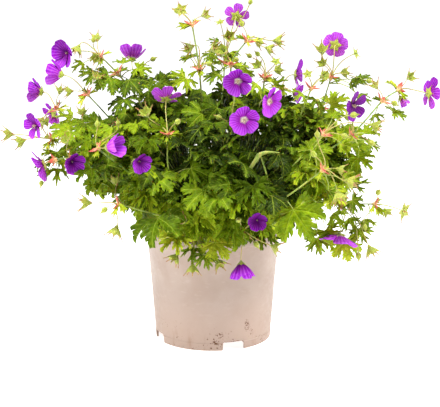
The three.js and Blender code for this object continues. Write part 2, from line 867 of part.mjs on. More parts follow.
// A tuft: long-stalked leaves from one root, from the lowest, over the rim, to the highest.
function growTuft(index) {
  const node = `leaf_tuft_${index + 1}`;
  const azimuth = (360 / TUFTS.count) * (index + 0.5);
  const low = facing(azimuth, 0).multiplyScalar(TUFTS.rootCircle);
  low.z = SOIL.rootEnd;
  const high = low.clone().setZ(SOIL.top + 12);
  put(node, rod([low, high], 4, STEM.rootRadius, STEM.rootRadius));
  const knob = rounded(6, 2, (k, level) => {
    const wide = Math.abs(level) > 0.5 ? 0 : TUFTS.crown;
    return [high.x + wide * Math.cos(rad(60 * k)), high.y + wide * Math.sin(rad(60 * k)), high.z + level * 7];
  });
  put(node, solidOf(knob));
  for (let j = 0, kept = 0; j < TUFTS.leaves && kept < TUFTS.kept; j++) {
    const id = 500 + index * 40 + j;
    const share = fraction(j * 0.618 + index * 0.31);
    const rise = mix(-1, 0.97, share);
    const swing = (draw(id, 2) - 0.5) * (360 / TUFTS.count) * (1 + share);
    const at = moundPoint(azimuth + swing, rise, mix(0.8, 1.02, draw(id, 3)));
    const size = TUFTS.leaf * mix(0.82, 1.08, draw(id, 4)) * mix(1, 0.8, share);
    const out = facing(azimuth + swing, 0);
    const normal = out.clone().multiplyScalar(mix(0.9, 0.25, share));
    normal.add(new THREE.Vector3(TUFTS.sway * (draw(id, 5) - 0.5), TUFTS.sway * (draw(id, 6) - 0.5), 0.75));
    const tip = out.clone().add(new THREE.Vector3((draw(id, 7) - 0.5) * 1.2, 0, -0.5));
    const over = new THREE.Vector3(mix(high.x, at.x, 0.35), mix(high.y, at.y, 0.35), 0);
    over.z = Math.max(mix(high.z, at.z, 0.7), POT.height + 24);
    if (spoilsBloom(at, size)) continue;
    const from = facing(60 * kept + 30, 0).multiplyScalar(TUFTS.crown * 0.6).add(high);
    if (addLeaf(node, LARGE, size, from, over, at, normal, tip)) kept += 1;
  }
  return [low.x, low.y];
}

// Stems and blooms stand first, and leaves fill in round them.
const roots = [];
const grownBranches = [];
Object.entries(STEMS).forEach(([node, stem], s) => {
  const foot = [SOIL.rootEnd, SOIL.top + 14].map((z) => vec([...stem.root, z]));
  put(node, rod(foot, 4, STEM.rootRadius, STEM.rootRadius));
  roots.push(stem.root);
  stem.branches.forEach((branch, b) => {
    const grown = growBranch(node, stem.root, branch, s * 2 + b);
    grownBranches.push([node, grown, branch.leaves, s * 2 + b + 1]);
  });
});
put("pot", pot());
grownBranches.forEach(([node, grown, leaves, seed]) => {
  if (leaves) listedLeaves(node, grown, leaves, seed);
  else branchLeaves(node, grown, seed);
});
for (let t = 0; t < TUFTS.count; t++) roots.push(growTuft(t));
put("compost", compost(roots));

// ---- The scene graph ----
const FINISH = {
  pot: new THREE.MeshStandardMaterial({ color: 0xcbb6a6, roughness: 0.5, metalness: 0 }),
  compost: new THREE.MeshStandardMaterial({ color: 0x2e2018, roughness: 0.95, metalness: 0 }),
  bloom: new THREE.MeshStandardMaterial({ color: 0x8a2bc4, roughness: 0.6, metalness: 0 }),
  stem: new THREE.MeshStandardMaterial({ color: 0x7c9a35, roughness: 0.6, metalness: 0 }),
  leaf: new THREE.MeshStandardMaterial({ color: 0x4f7a1c, roughness: 0.6, metalness: 0 }),
};

const plant = new THREE.Group();
for (const [name, solids] of nodes) {
  const fused = Solid.union(solids).asOriginal().simplify(SLIVER);
  const mesh = new THREE.Mesh(geometryOf(fused), FINISH[name.split("_")[0]]);
  mesh.name = name;
  plant.add(mesh);
}
export default plant;
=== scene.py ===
import math

import bmesh
import bpy
from mathutils import Matrix, Vector


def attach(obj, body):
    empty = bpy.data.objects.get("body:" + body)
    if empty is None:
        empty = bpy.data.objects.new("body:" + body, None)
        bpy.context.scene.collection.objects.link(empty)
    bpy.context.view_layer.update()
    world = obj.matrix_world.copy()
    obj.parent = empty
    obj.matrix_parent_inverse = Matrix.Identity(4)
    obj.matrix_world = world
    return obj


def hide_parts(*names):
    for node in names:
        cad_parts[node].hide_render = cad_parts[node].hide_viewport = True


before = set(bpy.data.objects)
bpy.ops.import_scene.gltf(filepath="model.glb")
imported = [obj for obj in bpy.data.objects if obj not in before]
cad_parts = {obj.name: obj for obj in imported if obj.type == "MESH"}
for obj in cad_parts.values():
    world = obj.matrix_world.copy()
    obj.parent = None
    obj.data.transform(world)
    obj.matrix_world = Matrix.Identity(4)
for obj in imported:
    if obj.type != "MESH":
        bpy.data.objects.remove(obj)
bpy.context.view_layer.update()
MM = 0.001

# ---- Sizes ----
POT = {"height": 154, "rim": 95, "band": 9, "lip": 4, "foot": 79, "wall": 2.2, "sides": 112}
FLOOR = {"raised": 8, "thick": 2.2, "hub": 22, "hub_slope": 5}
NOTCH = {"count": 4, "first": -69, "width": 31, "height": 12, "depth": 13}
SOIL = {"top": 134, "crown": 6, "side": 0.8, "root_end": 118}
# The compost's heap, as radius and height over its edge, and the loose crumbs on it.
HEAP = [(80, 0.6), (72, 1), (62, 1.5), (52, 2.2), (41, 3.2), (30, 4.2), (19, 5.2), (8, SOIL["crown"]),
        (1, SOIL["crown"])]
CRUMBS = {"count": 150, "spread": 84}
CROWN_TOP = SOIL["top"] + 12  # where branches and leaf stalks part from their roots
STEM = {"radius": 1.8, "branch": 0.9, "petiole": 0.85, "tip": 0.45, "root": 2.6, "swell": 1.4}
SEPAL = {"length": 9.5, "thick": 1.1}
BRACT_LENGTH = 13.5
# Degrees between the lobes of grown and of young leaves.
GROWN_SPREAD, YOUNG_SPREAD = 50, 52
# The leafy mound is a dome round (x, 0, z). Its lower half is tucked in by a share at its foot.
MOUND = {"x": 10, "z": 240, "left": 180, "right": 184, "front": 146, "back": 144, "up": 98, "down": 54}
TUCK = {"front": 0.14, "side": 0.58}
# The tufts that fill the mound. "outer", "inner" and "skirt" count a tuft's leaves in each layer, and a
# layer's reach is how near they come to the mound's surface, as shares.
TUFTS = {"count": 8, "root_circle": 44, "crown": 7, "outer": 52, "inner": 16, "skirt": 8, "leaf": 36,
         "sway": 1.3}
LAYER_REACH = {"outer": (0.74, 1.04), "inner": (0.4, 0.74), "skirt": (0.7, 0.92)}
GOLDEN = 0.618  # the step between two leaves of a tuft, which spreads them evenly over its height
LARGE_FROM = 27  # a leaf that a stem lists has a grown leaf's shape from this size on
# What crowds a fork: little leaves and late buds or spent calyces on short stalks.
CROWD = {"leaflets": 5, "leaflet": 18, "stalks": 2, "stalk": 24, "end": 14}
# Hollows between the leaves, where painted shade darkens the leaves' tint: x, z, reach and depth of the
# painted shade. They are in front of the plane at y HOLLOW_BACK. Leaves of the tufts' outer layers leave out
# what is deeper than HOLLOW_BARE.
HOLLOWS = [(78, 255, 36, 0.4), (-32, 300, 45, 0.24), (20, 296, 50, 0.22), (-30, 246, 34, 0.22),
           (-92, 166, 40, 0.4), (98, 168, 36, 0.34), (146, 292, 56, 0.2), (-60, 292, 50, 0.16)]
HOLLOW_BACK, HOLLOW_BARE = -15, 0.345
# Two old stalks from one stem: one is broken over at its top and the other hangs from the break. Each
# limb has its points and its radii at its ends.
OLD_STALKS = {"stem": "stem_right_low", "limbs": [
    ([(55, -72, 196), (41, -122, 232), (48, -132, 260), (60, -133, 281)], 1.0, 2.9),
    ([(60, -133, 281), (70, -133, 284), (86, -126, 282)], 2.9, 0.7),
    ([(61, -132, 281), (66, -132, 266), (71, -130, 246), (70, -108, 218), (55, -72, 196)], 1.2, 1.0),
]}
# The blooms whose petals are narrow, with gaps between them, and each bloom's tone: 0 is deep violet, 1
# is pale lilac and less than 0 is darker still. Blooms are numbered as the stems list them.
NARROW_BLOOMS = (4, 5, 6, 10, 12, 16, 19, 21, 22)
BLOOM_TONES = [0.4, 0.1, 0.35, 0.3, 0.15, 0.25, -0.1, 1.0, -0.15, 1.0, 0.85, 1.0, 0.5, 0.45, 0.75, 0.3,
               0.6, 0.8, 0.2, 0.8, -0.7, 0.6, -0.6, -0.45, 0.5, 0.3, 0.6, 0.4, 0.3, 0.5]
VIEW_RISE = 12.5  # degrees above the plant's front, from where it is seen

# Each stem: its root, then its branches. A branch is the points that it passes, how many of the last
# ones are forks, the twigs that leave them and the leaves that it lists. A twig is (fork, what it
# carries, x, y, z, azimuth, elevation, width, a bloom's depth), where azimuth 0 faces the front and 90
# the right. A leaf is (point, x, y, z, size).
STEMS = {
    "stem_left_high": ((-22, -4), [
        ([(-60, -14, 215), (-129, -30, 300), (-166, -45, 345)], 2, [
            (1, "bloom", -197, -56, 373, -108, 8, 34, 19),
        ], [
            (1, -134, -66, 304, 28), (0, -108, -44, 262, 34),
        ]),
        ([(-50, -2, 230), (-100, -5, 330), (-128, -10, 368), (-149, -20, 392)], 2, [
            (1, "bloom", -193, -30, 399, -40, -4, 38, 12),
            (1, "cup", -178, -25, 408, -60, -60, 17),
            (1, "bud", -160, -15, 411, 20, 70, 12),
        ], [
            (3, -172, -34, 386, 20), (3, -158, -36, 372, 24), (2, -138, -30, 366, 28),
            (1, -118, -40, 338, 28), (1, -98, 24, 346, 28), (2, -122, 4, 380, 24),
            (2, -112, -26, 362, 28), (2, -102, -14, 376, 22),
        ]),
    ]),
    "stem_left": ((-30, -14), [
        ([(-70, -8, 220), (-126, -6, 264), (-174, 0, 285), (-212, 10, 317)], 2, [
            (1, "bloom", -233, 20, 339, -104, 6, 34, 17),
            (1, "bloom", -221, 38, 307, -115, -30, 34, 5),
            (1, "cup", -231, 0, 306, -80, -50, 17),
        ], [
            (2, -190, -6, 308, 26), (2, -172, -30, 304, 30), (1, -150, -34, 294, 34),
            (1, -158, 36, 290, 32), (2, -196, 24, 282, 26),
        ]),
        ([(-70, -36, 215), (-124, -58, 253), (-183, -60, 285), (-212, -62, 288)], 2, [
            (1, "bloom", -232, -75, 309, -45, -8, 36, 7),
            (1, "cup", -264, -70, 296, -90, 0, 18),
            (1, "cup", -250, -56, 286, -95, -20, 18),
        ], [
            (2, -188, -76, 302, 28), (3, -208, -48, 268, 27), (3, -224, -74, 262, 18),
            (1, -160, -84, 290, 32), (1, -136, -84, 284, 32), (1, -124, -30, 270, 30),
        ]),
    ]),
    "stem_left_low": ((-22, -27), [
        ([(-66, -58, 205), (-136, -80, 243), (-185, -95, 268), (-206, -92, 266)], 2, [
            (1, "bloom", -221, -90, 260, -90, -25, 46, 9),
            (0, "bloom", -183, -116, 269, 30, -11, 29, 13),
            (1, "bud", -228, -62, 232, -40, -75, 12),
        ], [
            (3, -204, -80, 252, 25), (2, -186, -74, 257, 26), (1, -158, -112, 258, 27),
            (3, -216, -66, 244, 20), (1, -140, -104, 262, 30),
        ]),
        ([(-32, -66, 188), (-66, -126, 199), (-121, -128, 215)], 1, [
            (0, "cup", -158, -128, 216, -88, 2, 20),
            (0, "cup", -124, -132, 186, -65, -70, 20),
        ], [
            (1, -70, -142, 199, 44), (2, -126, -120, 228, 24),
        ]),
    ]),
    "stem_front_left": ((-12, -16), [
        ([(-45, -65, 200), (-96, -96, 240), (-148, -112, 284)], 2, [
            (1, "bloom", -138, -125, 288, 66, 12, 30, 23),
            (0, "bloom", -94, -150, 276, 30, -15, 27, 11),
            (1, "bud", -122, -104, 314, -10, 60, 12),
        ], [
            (1, -96, -124, 246, 32), (1, -70, -130, 250, 30), (2, -128, -100, 300, 22),
        ]),
        ([(-30, -66, 205), (-56, -116, 254), (-58, -114, 302)], 1, [
            (0, "bloom", -61, -77, 343, 175, 50, 40, 9),
            (0, "cup", -84, -104, 326, -30, 50, 18),
        ], [
            (1, -78, -126, 262, 32), (1, -28, -128, 262, 30),
        ]),
    ]),
    "stem_top_left": ((-14, 10), [
        ([(-35, 22, 220), (-66, 22, 272), (-91, 30, 319), (-102, 30, 347)], 1, [
            (0, "bloom", -111, 30, 380, 178, 60, 36, 19),
            (0, "bud", -86, 40, 380, 70, 25, 13),
        ], [
            (2, -88, 8, 342, 28), (3, -74, 40, 350, 28), (1, -88, 44, 284, 32),
        ]),
        ([(-12, -2, 240), (-14, -18, 307), (-18, -30, 376), (-27, -35, 436)], 2, [
            (1, "star", -42, -40, 457, 10, 20, 22),
            (0, "cup", -26, -20, 407, -70, -20, 17),
            (0, "cup", -3, -40, 404, 60, 20, 17),
        ], [
            (2, -36, -40, 366, 26), (2, -6, -40, 388, 20), (1, -34, -26, 322, 30),
            (2, -30, -14, 390, 18), (2, 2, -30, 404, 18),
        ]),
    ]),
    "stem_top": ((3, 14), [
        ([(10, 22, 250), (12, 30, 312), (16, 40, 375)], 1, [
            (0, "bloom", 32, 50, 439, 172, 12, 35, 5),
            (0, "bud", 50, 46, 456, 40, 60, 12),
            (0, "star", 10, 30, 433, -30, 60, 16),
            (0, "cup", 21, 32, 412, 10, 20, 17),
        ], [
            (2, 22, 22, 392, 20), (2, 2, 34, 388, 20), (2, 8, 34, 406, 18), (1, -6, 18, 330, 28),
            (2, 34, 44, 366, 24),
        ]),
    ]),
    "stem_top_front": ((4, -8), [
        ([(20, -35, 240), (29, -58, 322), (24, -50, 384), (44, -45, 416)], 2, [
            (1, "cup", 81, -30, 415, 85, 0, 18),
            (1, "cup", 70, -48, 408, 75, -15, 16),
        ], [
            (2, 8, -46, 372, 24), (1, 6, -64, 330, 28), (2, 40, -40, 376, 20),
        ]),
        ([(8, -55, 200), (14, -82, 262), (22, -88, 308)], 1, [
            (0, "bloom", 40, -135, 327, 8, -14, 39, 7),
            (0, "bloom", 33, -92, 371, -4, -19, 38, 10),
        ], [
            (1, -8, -96, 280, 30), (1, 34, -100, 268, 30),
        ]),
    ]),
    "stem_top_right": ((14, 0), [
        ([(35, -24, 230), (58, -42, 300), (69, -40, 366)], 2, [
            (1, "star", 83, -55, 390, 20, 50, 18),
            (1, "bud", 52, -20, 392, -70, 30, 12),
            (1, "bud", 62, -36, 396, -60, 40, 12),
            (0, "bloom", 72, -94, 344, 50, -10, 40, 8),
        ], [
            (2, 58, -60, 362, 26), (2, 82, -24, 354, 22), (1, 44, -66, 318, 28),
        ]),
        ([(45, 25, 235), (79, 40, 290), (94, 50, 338)], 1, [
            (0, "bloom", 114, 60, 357, 96, -6, 46, 7),
            (0, "bloom", 110, 22, 339, 70, -10, 28, 10),
        ], [
            (2, 84, 30, 330, 30), (1, 98, 56, 300, 30),
        ]),
    ]),
    "stem_right_high": ((26, 6), [
        ([(60, 4, 220), (119, 0, 285), (145, -5, 320), (159, -10, 362)], 2, [
            (1, "bloom", 164, -12, 407, 170, 3, 34, 5),
            (1, "star", 192, 0, 394, 60, 20, 18),
            (1, "cup", 145, -40, 399, -10, 60, 18),
            (1, "bud", 206, -16, 360, 70, -10, 13),
        ], [
            (3, 184, -16, 356, 22), (3, 194, -6, 358, 22), (3, 194, -26, 342, 24),
            (2, 140, -22, 334, 26), (2, 160, 4, 324, 28), (1, 112, -20, 310, 32), (1, 134, 14, 298, 32),
        ]),
        ([(72, -28, 232), (108, -52, 300), (130, -54, 354)], 1, [
            (0, "star", 125, -58, 374, -20, 40, 17),
            (0, "cup", 142, -62, 370, 50, 30, 15),
        ], [
            (2, 118, -66, 350, 20),
        ]),
    ]),
    "stem_right": ((29, -9), [
        ([(70, -34, 215), (116, -78, 254), (180, -92, 299), (222, -72, 340), (245, -52, 352)], 3, [
            (2, "bloom", 285, -55, 349, 114, -8, 43, 5),
            (2, "bloom", 249, -44, 342, 60, -50, 14, 14),
            (0, "bloom", 180, -108, 341, 46, -8, 40, 8),
        ], [
            (3, 238, -60, 324, 22), (3, 214, -62, 322, 18), (2, 202, -56, 294, 28),
            (2, 206, -60, 282, 20), (2, 194, -58, 262, 27), (2, 186, -36, 274, 30),
            (1, 138, -48, 262, 30),
        ]),
        ([(76, -100, 228), (142, -124, 305)], 1, [
            (0, "bud", 176, -134, 332, 60, 10, 15),
            (0, "cup", 206, -100, 314, 80, -15, 19),
        ], [
            (1, 168, -122, 291, 24), (1, 156, -94, 322, 20), (1, 128, -132, 286, 24),
        ]),
    ]),
    "stem_right_low": ((26, -24), [
        ([(75, -48, 198), (130, -62, 206), (169, -72, 203), (214, -80, 204)], 2, [
            (1, "star", 252, -85, 196, 50, -10, 30),
            (1, "bud", 200, -92, 180, 40, -70, 13),
            (0, "bloom", 168, -96, 167, -50, -74, 52, 12),
            (0, "cup", 206, -102, 152, 60, -60, 20),
            (0, "bud", 192, -104, 144, 10, -70, 15),
        ], [
            (2, 186, -78, 229, 25), (2, 180, -88, 187, 25), (2, 184, -84, 210, 22),
            (1, 152, -88, 224, 30), (1, 150, -72, 166, 28), (1, 138, -90, 160, 24),
            (2, 172, -56, 236, 28), (2, 176, -76, 152, 27), (2, 194, -88, 172, 22),
            (3, 206, -70, 182, 20), (1, 158, -100, 196, 26),
        ]),
        ([(55, -72, 196), (92, -134, 224), (140, -144, 262)], 1, [
            (0, "cup", 170, -150, 250, 80, -10, 20),
            (0, "cup", 160, -150, 236, 30, -60, 20),
            (0, "bud", 134, -138, 304, -10, 70, 14),
        ], [
            (1, 104, -146, 211, 44), (2, 166, -132, 248, 26), (1, 76, -148, 230, 30),
            (2, 128, -134, 284, 24), (2, 150, -128, 232, 26),
        ]),
    ]),
    "stem_front_low": ((4, -30), [
        ([(22, -75, 188), (38, -118, 180)], 1, [
            (0, "bloom", 57, -150, 199, 5, -10, 25, 9),
            (0, "cup", 76, -140, 162, 80, -20, 18),
            (0, "bloom", 37, -142, 141, 10, -66, 33, 21),
        ], [
            (0, 50, -108, 192, 34), (0, 20, -116, 202, 32), (0, 66, -104, 172, 28),
            (1, 64, -130, 186, 26),
        ]),
        ([(-8, -72, 188), (-22, -120, 174)], 1, [
            (0, "cup", -26, -135, 136, 0, -80, 18),
            (0, "cup", -46, -130, 148, -60, -50, 18),
            (0, "cup", 6, -134, 142, 40, -45, 18),
        ], [
            (0, -36, -116, 192, 34), (1, -24, -134, 158, 26), (1, -10, -142, 150, 22),
            (1, -46, -130, 170, 28), (1, 2, -132, 164, 28), (0, -2, -112, 184, 32),
        ]),
    ]),
    "stem_back_left": ((-22, 26), [
        ([(-50, 58, 205), (-95, 100, 245)], 1, [
            (0, "bloom", -122, 142, 262, -145, 20, 40, 7),
            (0, "bloom", -78, 150, 280, 175, 25, 40, 9),
            (0, "cup", -142, 118, 235, -110, 0, 18),
        ], []),
    ]),
    "stem_back": ((0, 32), [
        ([(4, 75, 212), (5, 125, 250)], 1, [
            (0, "bloom", -14, 165, 268, -168, 15, 38, 12),
            (0, "bloom", 36, 165, 238, 160, 0, 32, 18),
            (0, "cup", 8, 160, 214, 180, -40, 18),
        ], []),
    ]),
    "stem_back_right": ((24, 24), [
        ([(60, 58, 208), (112, 98, 240)], 1, [
            (0, "bloom", 142, 134, 256, 140, 15, 42, 7),
            (0, "bloom", 96, 150, 276, 170, 30, 38, 9),
            (0, "cup", 166, 108, 226, 110, 0, 18),
        ], []),
    ]),
}


# ---- Directions and repeatable draws ----
def mix(a, b, share):
    return a + (b - a) * share


def share_of(value, start, end):
    """How far the value is on its way from start to end, from 0 to 1."""
    return min(1, max(0, (value - start) / (end - start)))


def draw(i, k):
    """A repeatable draw from 0 to 1 for item i and purpose k."""
    x = math.sin(i * 12.9898 + k * 78.233) * 43758.5453
    return x - math.floor(x)


def facing(azimuth, elevation):
    a, e = math.radians(azimuth), math.radians(elevation)
    return Vector((math.sin(a) * math.cos(e), -math.cos(a) * math.cos(e), math.sin(e)))


def stand(place, axis, hint):
    """A matrix that stands +Z along the axis, with +X as near as it can be to the hint."""
    z = axis.normalized()
    x = (hint - z * hint.dot(z)).normalized()
    standing = Matrix((x, z.cross(x), z)).transposed().to_4x4()
    standing.translation = place
    return standing


def turned(direction, axis, angle):
    return Matrix.Rotation(angle, 3, axis) @ direction


def across(axis, angle=0):
    """A direction square to the axis, at an angle round it."""
    side = Vector((0, 0, 1)) if abs(axis.z) < 0.8 else Vector((1, 0, 0))
    return turned(side.cross(axis).normalized(), axis, angle)


def bezier(points, steps):
    """A Bezier curve of three or four control points, as steps + 1 places."""
    places = []
    for i in range(steps + 1):
        level, t = list(points), i / steps
        while len(level) > 1:
            level = [a.lerp(b, t) for a, b in zip(level, level[1:])]
        places.append(level[0])
    return places


def smooth_line(points, steps):
    """A smooth line through all the points, in so many steps from each of them to the next."""
    ends = [points[0] * 2 - points[1]] + points + [points[-1] * 2 - points[-2]]
    line = []
    for a, b, c, d in zip(ends, ends[1:], ends[2:], ends[3:]):
        for i in range(steps):
            t = i / steps
            line.append(0.5 * (2 * b + (c - a) * t + (2 * a - 5 * b + 4 * c - d) * t * t
                               + (3 * b - a - 3 * c + d) * t * t * t))
    return line + [points[-1]]


# ---- Modelling helpers ----
def only(piece):
    bpy.ops.object.select_all(action="DESELECT")
    bpy.context.view_layer.objects.active = piece
    piece.select_set(True)


def select_all_points():
    bpy.ops.mesh.select_all(action="SELECT")


def open_mesh(piece, selected=False):
    """Opens the piece in edit mode, with all of it selected or nothing."""
    only(piece)
    bpy.ops.object.mode_set(mode="EDIT")
    bpy.ops.mesh.select_mode(type="VERT")
    bpy.ops.mesh.select_all(action="SELECT" if selected else "DESELECT")


def close_mesh():
    bpy.ops.object.mode_set(mode="OBJECT")


def pick(test):
    """Selects the points of the open mesh that pass the test, with the edges and faces between them."""
    bpy.ops.mesh.select_all(action="DESELECT")
    mesh = bmesh.from_edit_mesh(bpy.context.object.data)
    for point in mesh.verts:
        point.select = bool(test(point.co))
    mesh.select_flush_mode()
    bmesh.update_edit_mesh(bpy.context.object.data)


def slide(x, y, z):
    bpy.ops.transform.translate(value=(x, y, z))


def scale(x, y, z, centre=(0, 0, 0)):
    bpy.ops.transform.resize(value=(x, y, z), center_override=centre)


def turn(degrees, axis):
    """Turns the selection round an axis through the origin, the right-handed way."""
    bpy.ops.transform.rotate(value=-math.radians(degrees), orient_axis=axis, center_override=(0, 0, 0))


def turn_piece(piece, degrees, axis):
    open_mesh(piece, selected=True)
    turn(degrees, axis)
    close_mesh()


def finish_with(piece, kind, **settings):
    only(piece)
    modifier = piece.modifiers.new(kind, kind)
    for name, value in settings.items():
        setattr(modifier, name, value)
    bpy.ops.object.modifier_apply(modifier=modifier.name)


def smooth(piece, degrees):
    """Shades the piece smooth, but for edges that bend more than the angle."""
    only(piece)
    bpy.ops.object.shade_smooth_by_angle(angle=math.radians(degrees))


def join(pieces, name):
    bpy.ops.object.select_all(action="DESELECT")
    for piece in pieces:
        piece.select_set(True)
    bpy.context.view_layer.objects.active = pieces[0]
    if len(pieces) > 1:
        bpy.ops.object.join()
    pieces[0].name = name
    return pieces[0]


def place_new(name, data):
    """A new object of the data, in the scene."""
    made = bpy.data.objects.new(name, data)
    bpy.context.collection.objects.link(made)
    return made


def copy_of(piece):
    return place_new(piece.name, piece.data.copy())


def wear(piece, *finishes, shown=0):
    """Gives the piece its finishes, and all its faces the one that `shown` numbers."""
    for finish in finishes:
        piece.data.materials.append(finish.material)
    for face in piece.data.polygons:
        face.material_index = shown


def cone(sides, low_radius, high_radius, height, middle):
    """A cone on the Z axis with its middle at a height."""
    bpy.ops.mesh.primitive_cone_add(vertices=sides, radius1=low_radius, radius2=high_radius, depth=height,
                                    location=(0, 0, middle))
    bpy.ops.object.transform_apply(location=True)
    return bpy.context.object


WAITING = 10  # where a strip's rows wait, a unit apart, to be shaped one by one


def strip(name, stations, cells=2):
    """A strip along +X. A station is (x, half width, middle height, edge height) and, where the edge is
    drawn back, how far."""
    rows = len(stations) - 1
    bpy.ops.mesh.primitive_grid_add(x_subdivisions=rows, y_subdivisions=cells, size=2, location=(0, 0, 0))
    piece = bpy.context.object
    piece.name = name
    open_mesh(piece, selected=True)
    scale(rows / 2, 1, 1)
    slide(WAITING + rows / 2, 0, 0)
    shares = [column / (cells // 2) for column in range(cells // 2 + 1)]
    for row, (x, half, middle, edge, *drawn) in enumerate(stations):
        there = WAITING + row
        for share in shares:
            pick(lambda at: abs(at.x - there) < 0.01 and abs(abs(at.y) - share) < 0.01)
            slide(0, 0, mix(middle, edge, share * share))
        pick(lambda at: abs(at.x - there) < 0.01)
        scale(1, max(half, 1e-5), 1, (there, 0, 0))
        slide(x - there, 0, 0)
        if drawn:
            for share in shares[1:]:
                pick(lambda at: abs(at.x - x) < 0.001 and abs(abs(at.y) - half * share) < 0.001)
                slide(-drawn[0] * share * share, 0, 0)
    select_all_points()
    bpy.ops.mesh.remove_doubles(threshold=0.002)
    close_mesh()
    return piece


def draw_out(first, second, *steps):
    """Draws the edge between two outline points of the open mesh outwards, step by step, on both sides.
    A step is where the edge's middle goes and its length as a share of the first."""
    for side in (1, -1):
        a, b = (Vector((x, y * side)) for x, y in (first, second))
        pick(lambda at: (at.xy - a).length < 0.015 or (at.xy - b).length < 0.015)
        middle, long = (a + b) / 2, 1
        for x, y, share in steps:
            there = Vector((x, y * side))
            bpy.ops.mesh.extrude_edges_move()
            scale(share / long, share / long, 1, (*middle, 0))
            slide(*(there - middle), -0.02)
            middle, long = there, share


UV_SHARE = 0.4  # a pattern's unit length on its UV map, where the origin is in the middle


def lay_flat(piece, share=UV_SHARE):
    """Lays the piece's own XY on its UV map."""
    layer = piece.data.uv_layers.active or piece.data.uv_layers.new(name="UVMap")
    for loop in piece.data.loops:
        at = piece.data.vertices[loop.vertex_index].co
        layer.data[loop.index].uv = (0.5 + at.x * share, 0.5 + at.y * share)


def tinted(mesh, tint, painted_top_shade=0, middle=0):
    """Gives the mesh its tint, rising for every metre below the middle's height by the given slope: a
    painted shade that leaves its upper part darker than its lower.
    """
    shade = mesh.attributes.get("tint") or mesh.attributes.new("tint", "FLOAT", "POINT")
    shade.data.foreach_set("value", [tint + painted_top_shade * (middle - point.co.z) for point in mesh.vertices])


# ---- Finishes ----
def paint(red, green, blue):
    """A colour as it looks on a screen, from 0 to 255, made linear."""
    def linear(level):
        level /= 255
        return level / 12.92 if level <= 0.04045 else ((level + 0.055) / 1.055) ** 2.4
    return (linear(red), linear(green), linear(blue), 1)


class Level:
    """A value in a finish's node tree. Arithmetic with it adds Math nodes."""

    def __init__(self, finish, socket):
        self.finish = finish
        self.socket = socket

    def maths(self, operation, other=0.0):
        return self.finish.node("Math", {0: self, 1: other}, operation=operation)

    def __add__(self, other):
        return self.maths("ADD", other)

    def __sub__(self, other):
        return self.maths("SUBTRACT", other)

    def __mul__(self, other):
        return self.maths("MULTIPLY", other)

    def __truediv__(self, other):
        return self.maths("DIVIDE", other)

    def __abs__(self):
        return self.maths("ABSOLUTE")

    def eased(self, low, high, start=0.0, end=1.0):
        """Start where the value is low, end where it is high, and smoothly from one to the other."""
        return self.finish.node("MapRange", {0: self, 1: low, 2: high, 3: start, 4: end},
                                interpolation_type="SMOOTHSTEP")


class Finish:
    """A material built node by node round its Principled shader."""

    def __init__(self, name, **fixed):
        self.material = bpy.data.materials.new(name)
        self.material.use_nodes = True
        self.tree = self.material.node_tree
        self.shader = self.tree.nodes["Principled BSDF"]
        for socket, value in fixed.items():
            self.shader.inputs[socket.replace("_", " ").title().replace("Ior", "IOR")].default_value = value
        self.places = self.tree.nodes.new("ShaderNodeTexCoord")

    def node(self, kind, inputs, output=0, **settings):
        made = self.tree.nodes.new("ShaderNode" + kind)
        for name, value in settings.items():
            setattr(made, name, value)
        for socket, value in inputs.items():
            self.feed(made.inputs[socket], value)
        return Level(self, made.outputs[output])

    def feed(self, socket, value):
        if isinstance(value, Level):
            self.tree.links.new(value.socket, socket)
        else:
            socket.default_value = value

    def colour(self, value):
        self.feed(self.shader.inputs["Base Color"], value)

    def rough(self, value):
        self.feed(self.shader.inputs["Roughness"], value)

    def bump(self, height, strength, distance):
        relief = self.node("Bump", {"Height": height, "Strength": strength, "Distance": distance * MM})
        self.feed(self.shader.inputs["Normal"], relief)

    def split(self, coordinate):
        """The X, Y and Z of a texture coordinate."""
        parts = self.tree.nodes.new("ShaderNodeSeparateXYZ")
        self.tree.links.new(self.places.outputs[coordinate], parts.inputs[0])
        return [Level(self, socket) for socket in parts.outputs]

    def flat(self):
        """The piece's own X and Y, as lay_flat laid them on its UV map."""
        return [(level - 0.5) * (1 / UV_SHARE) for level in self.split("UV")[:2]]

    def tint(self):
        return self.node("Attribute", {}, output=2, attribute_name="tint")

    def grain(self, size, detail, stretch=None):
        """Noise whose lumps are `size` millimetres across, from 0 to 1."""
        vector = Level(self, self.places.outputs["Object"])
        if stretch:
            vector = self.node("Mapping", {"Vector": vector, "Scale": stretch})
        return self.node("TexNoise", {"Vector": vector, "Scale": 1 / (size * MM), "Detail": detail})

    def blend(self, share, first, second):
        return self.node("Mix", {0: share, 6: first, 7: second}, output=2, data_type="RGBA")

    def ramp(self, value, stops):
        made = self.tree.nodes.new("ShaderNodeValToRGB")
        self.feed(made.inputs[0], value)
        bands = made.color_ramp.elements
        while len(bands) < len(stops):
            bands.new(0.5)
        for band, (place, colour) in zip(bands, stops):
            band.position, band.color = place, paint(*colour)
        return Level(self, made.outputs[0])


# How much light plants let into themselves, and how deep.
FLESHY = {"subsurface_weight": 0.1, "subsurface_scale": 0.002}
SEPAL_FLESH = {"subsurface_weight": 0.12, "subsurface_scale": 0.002}


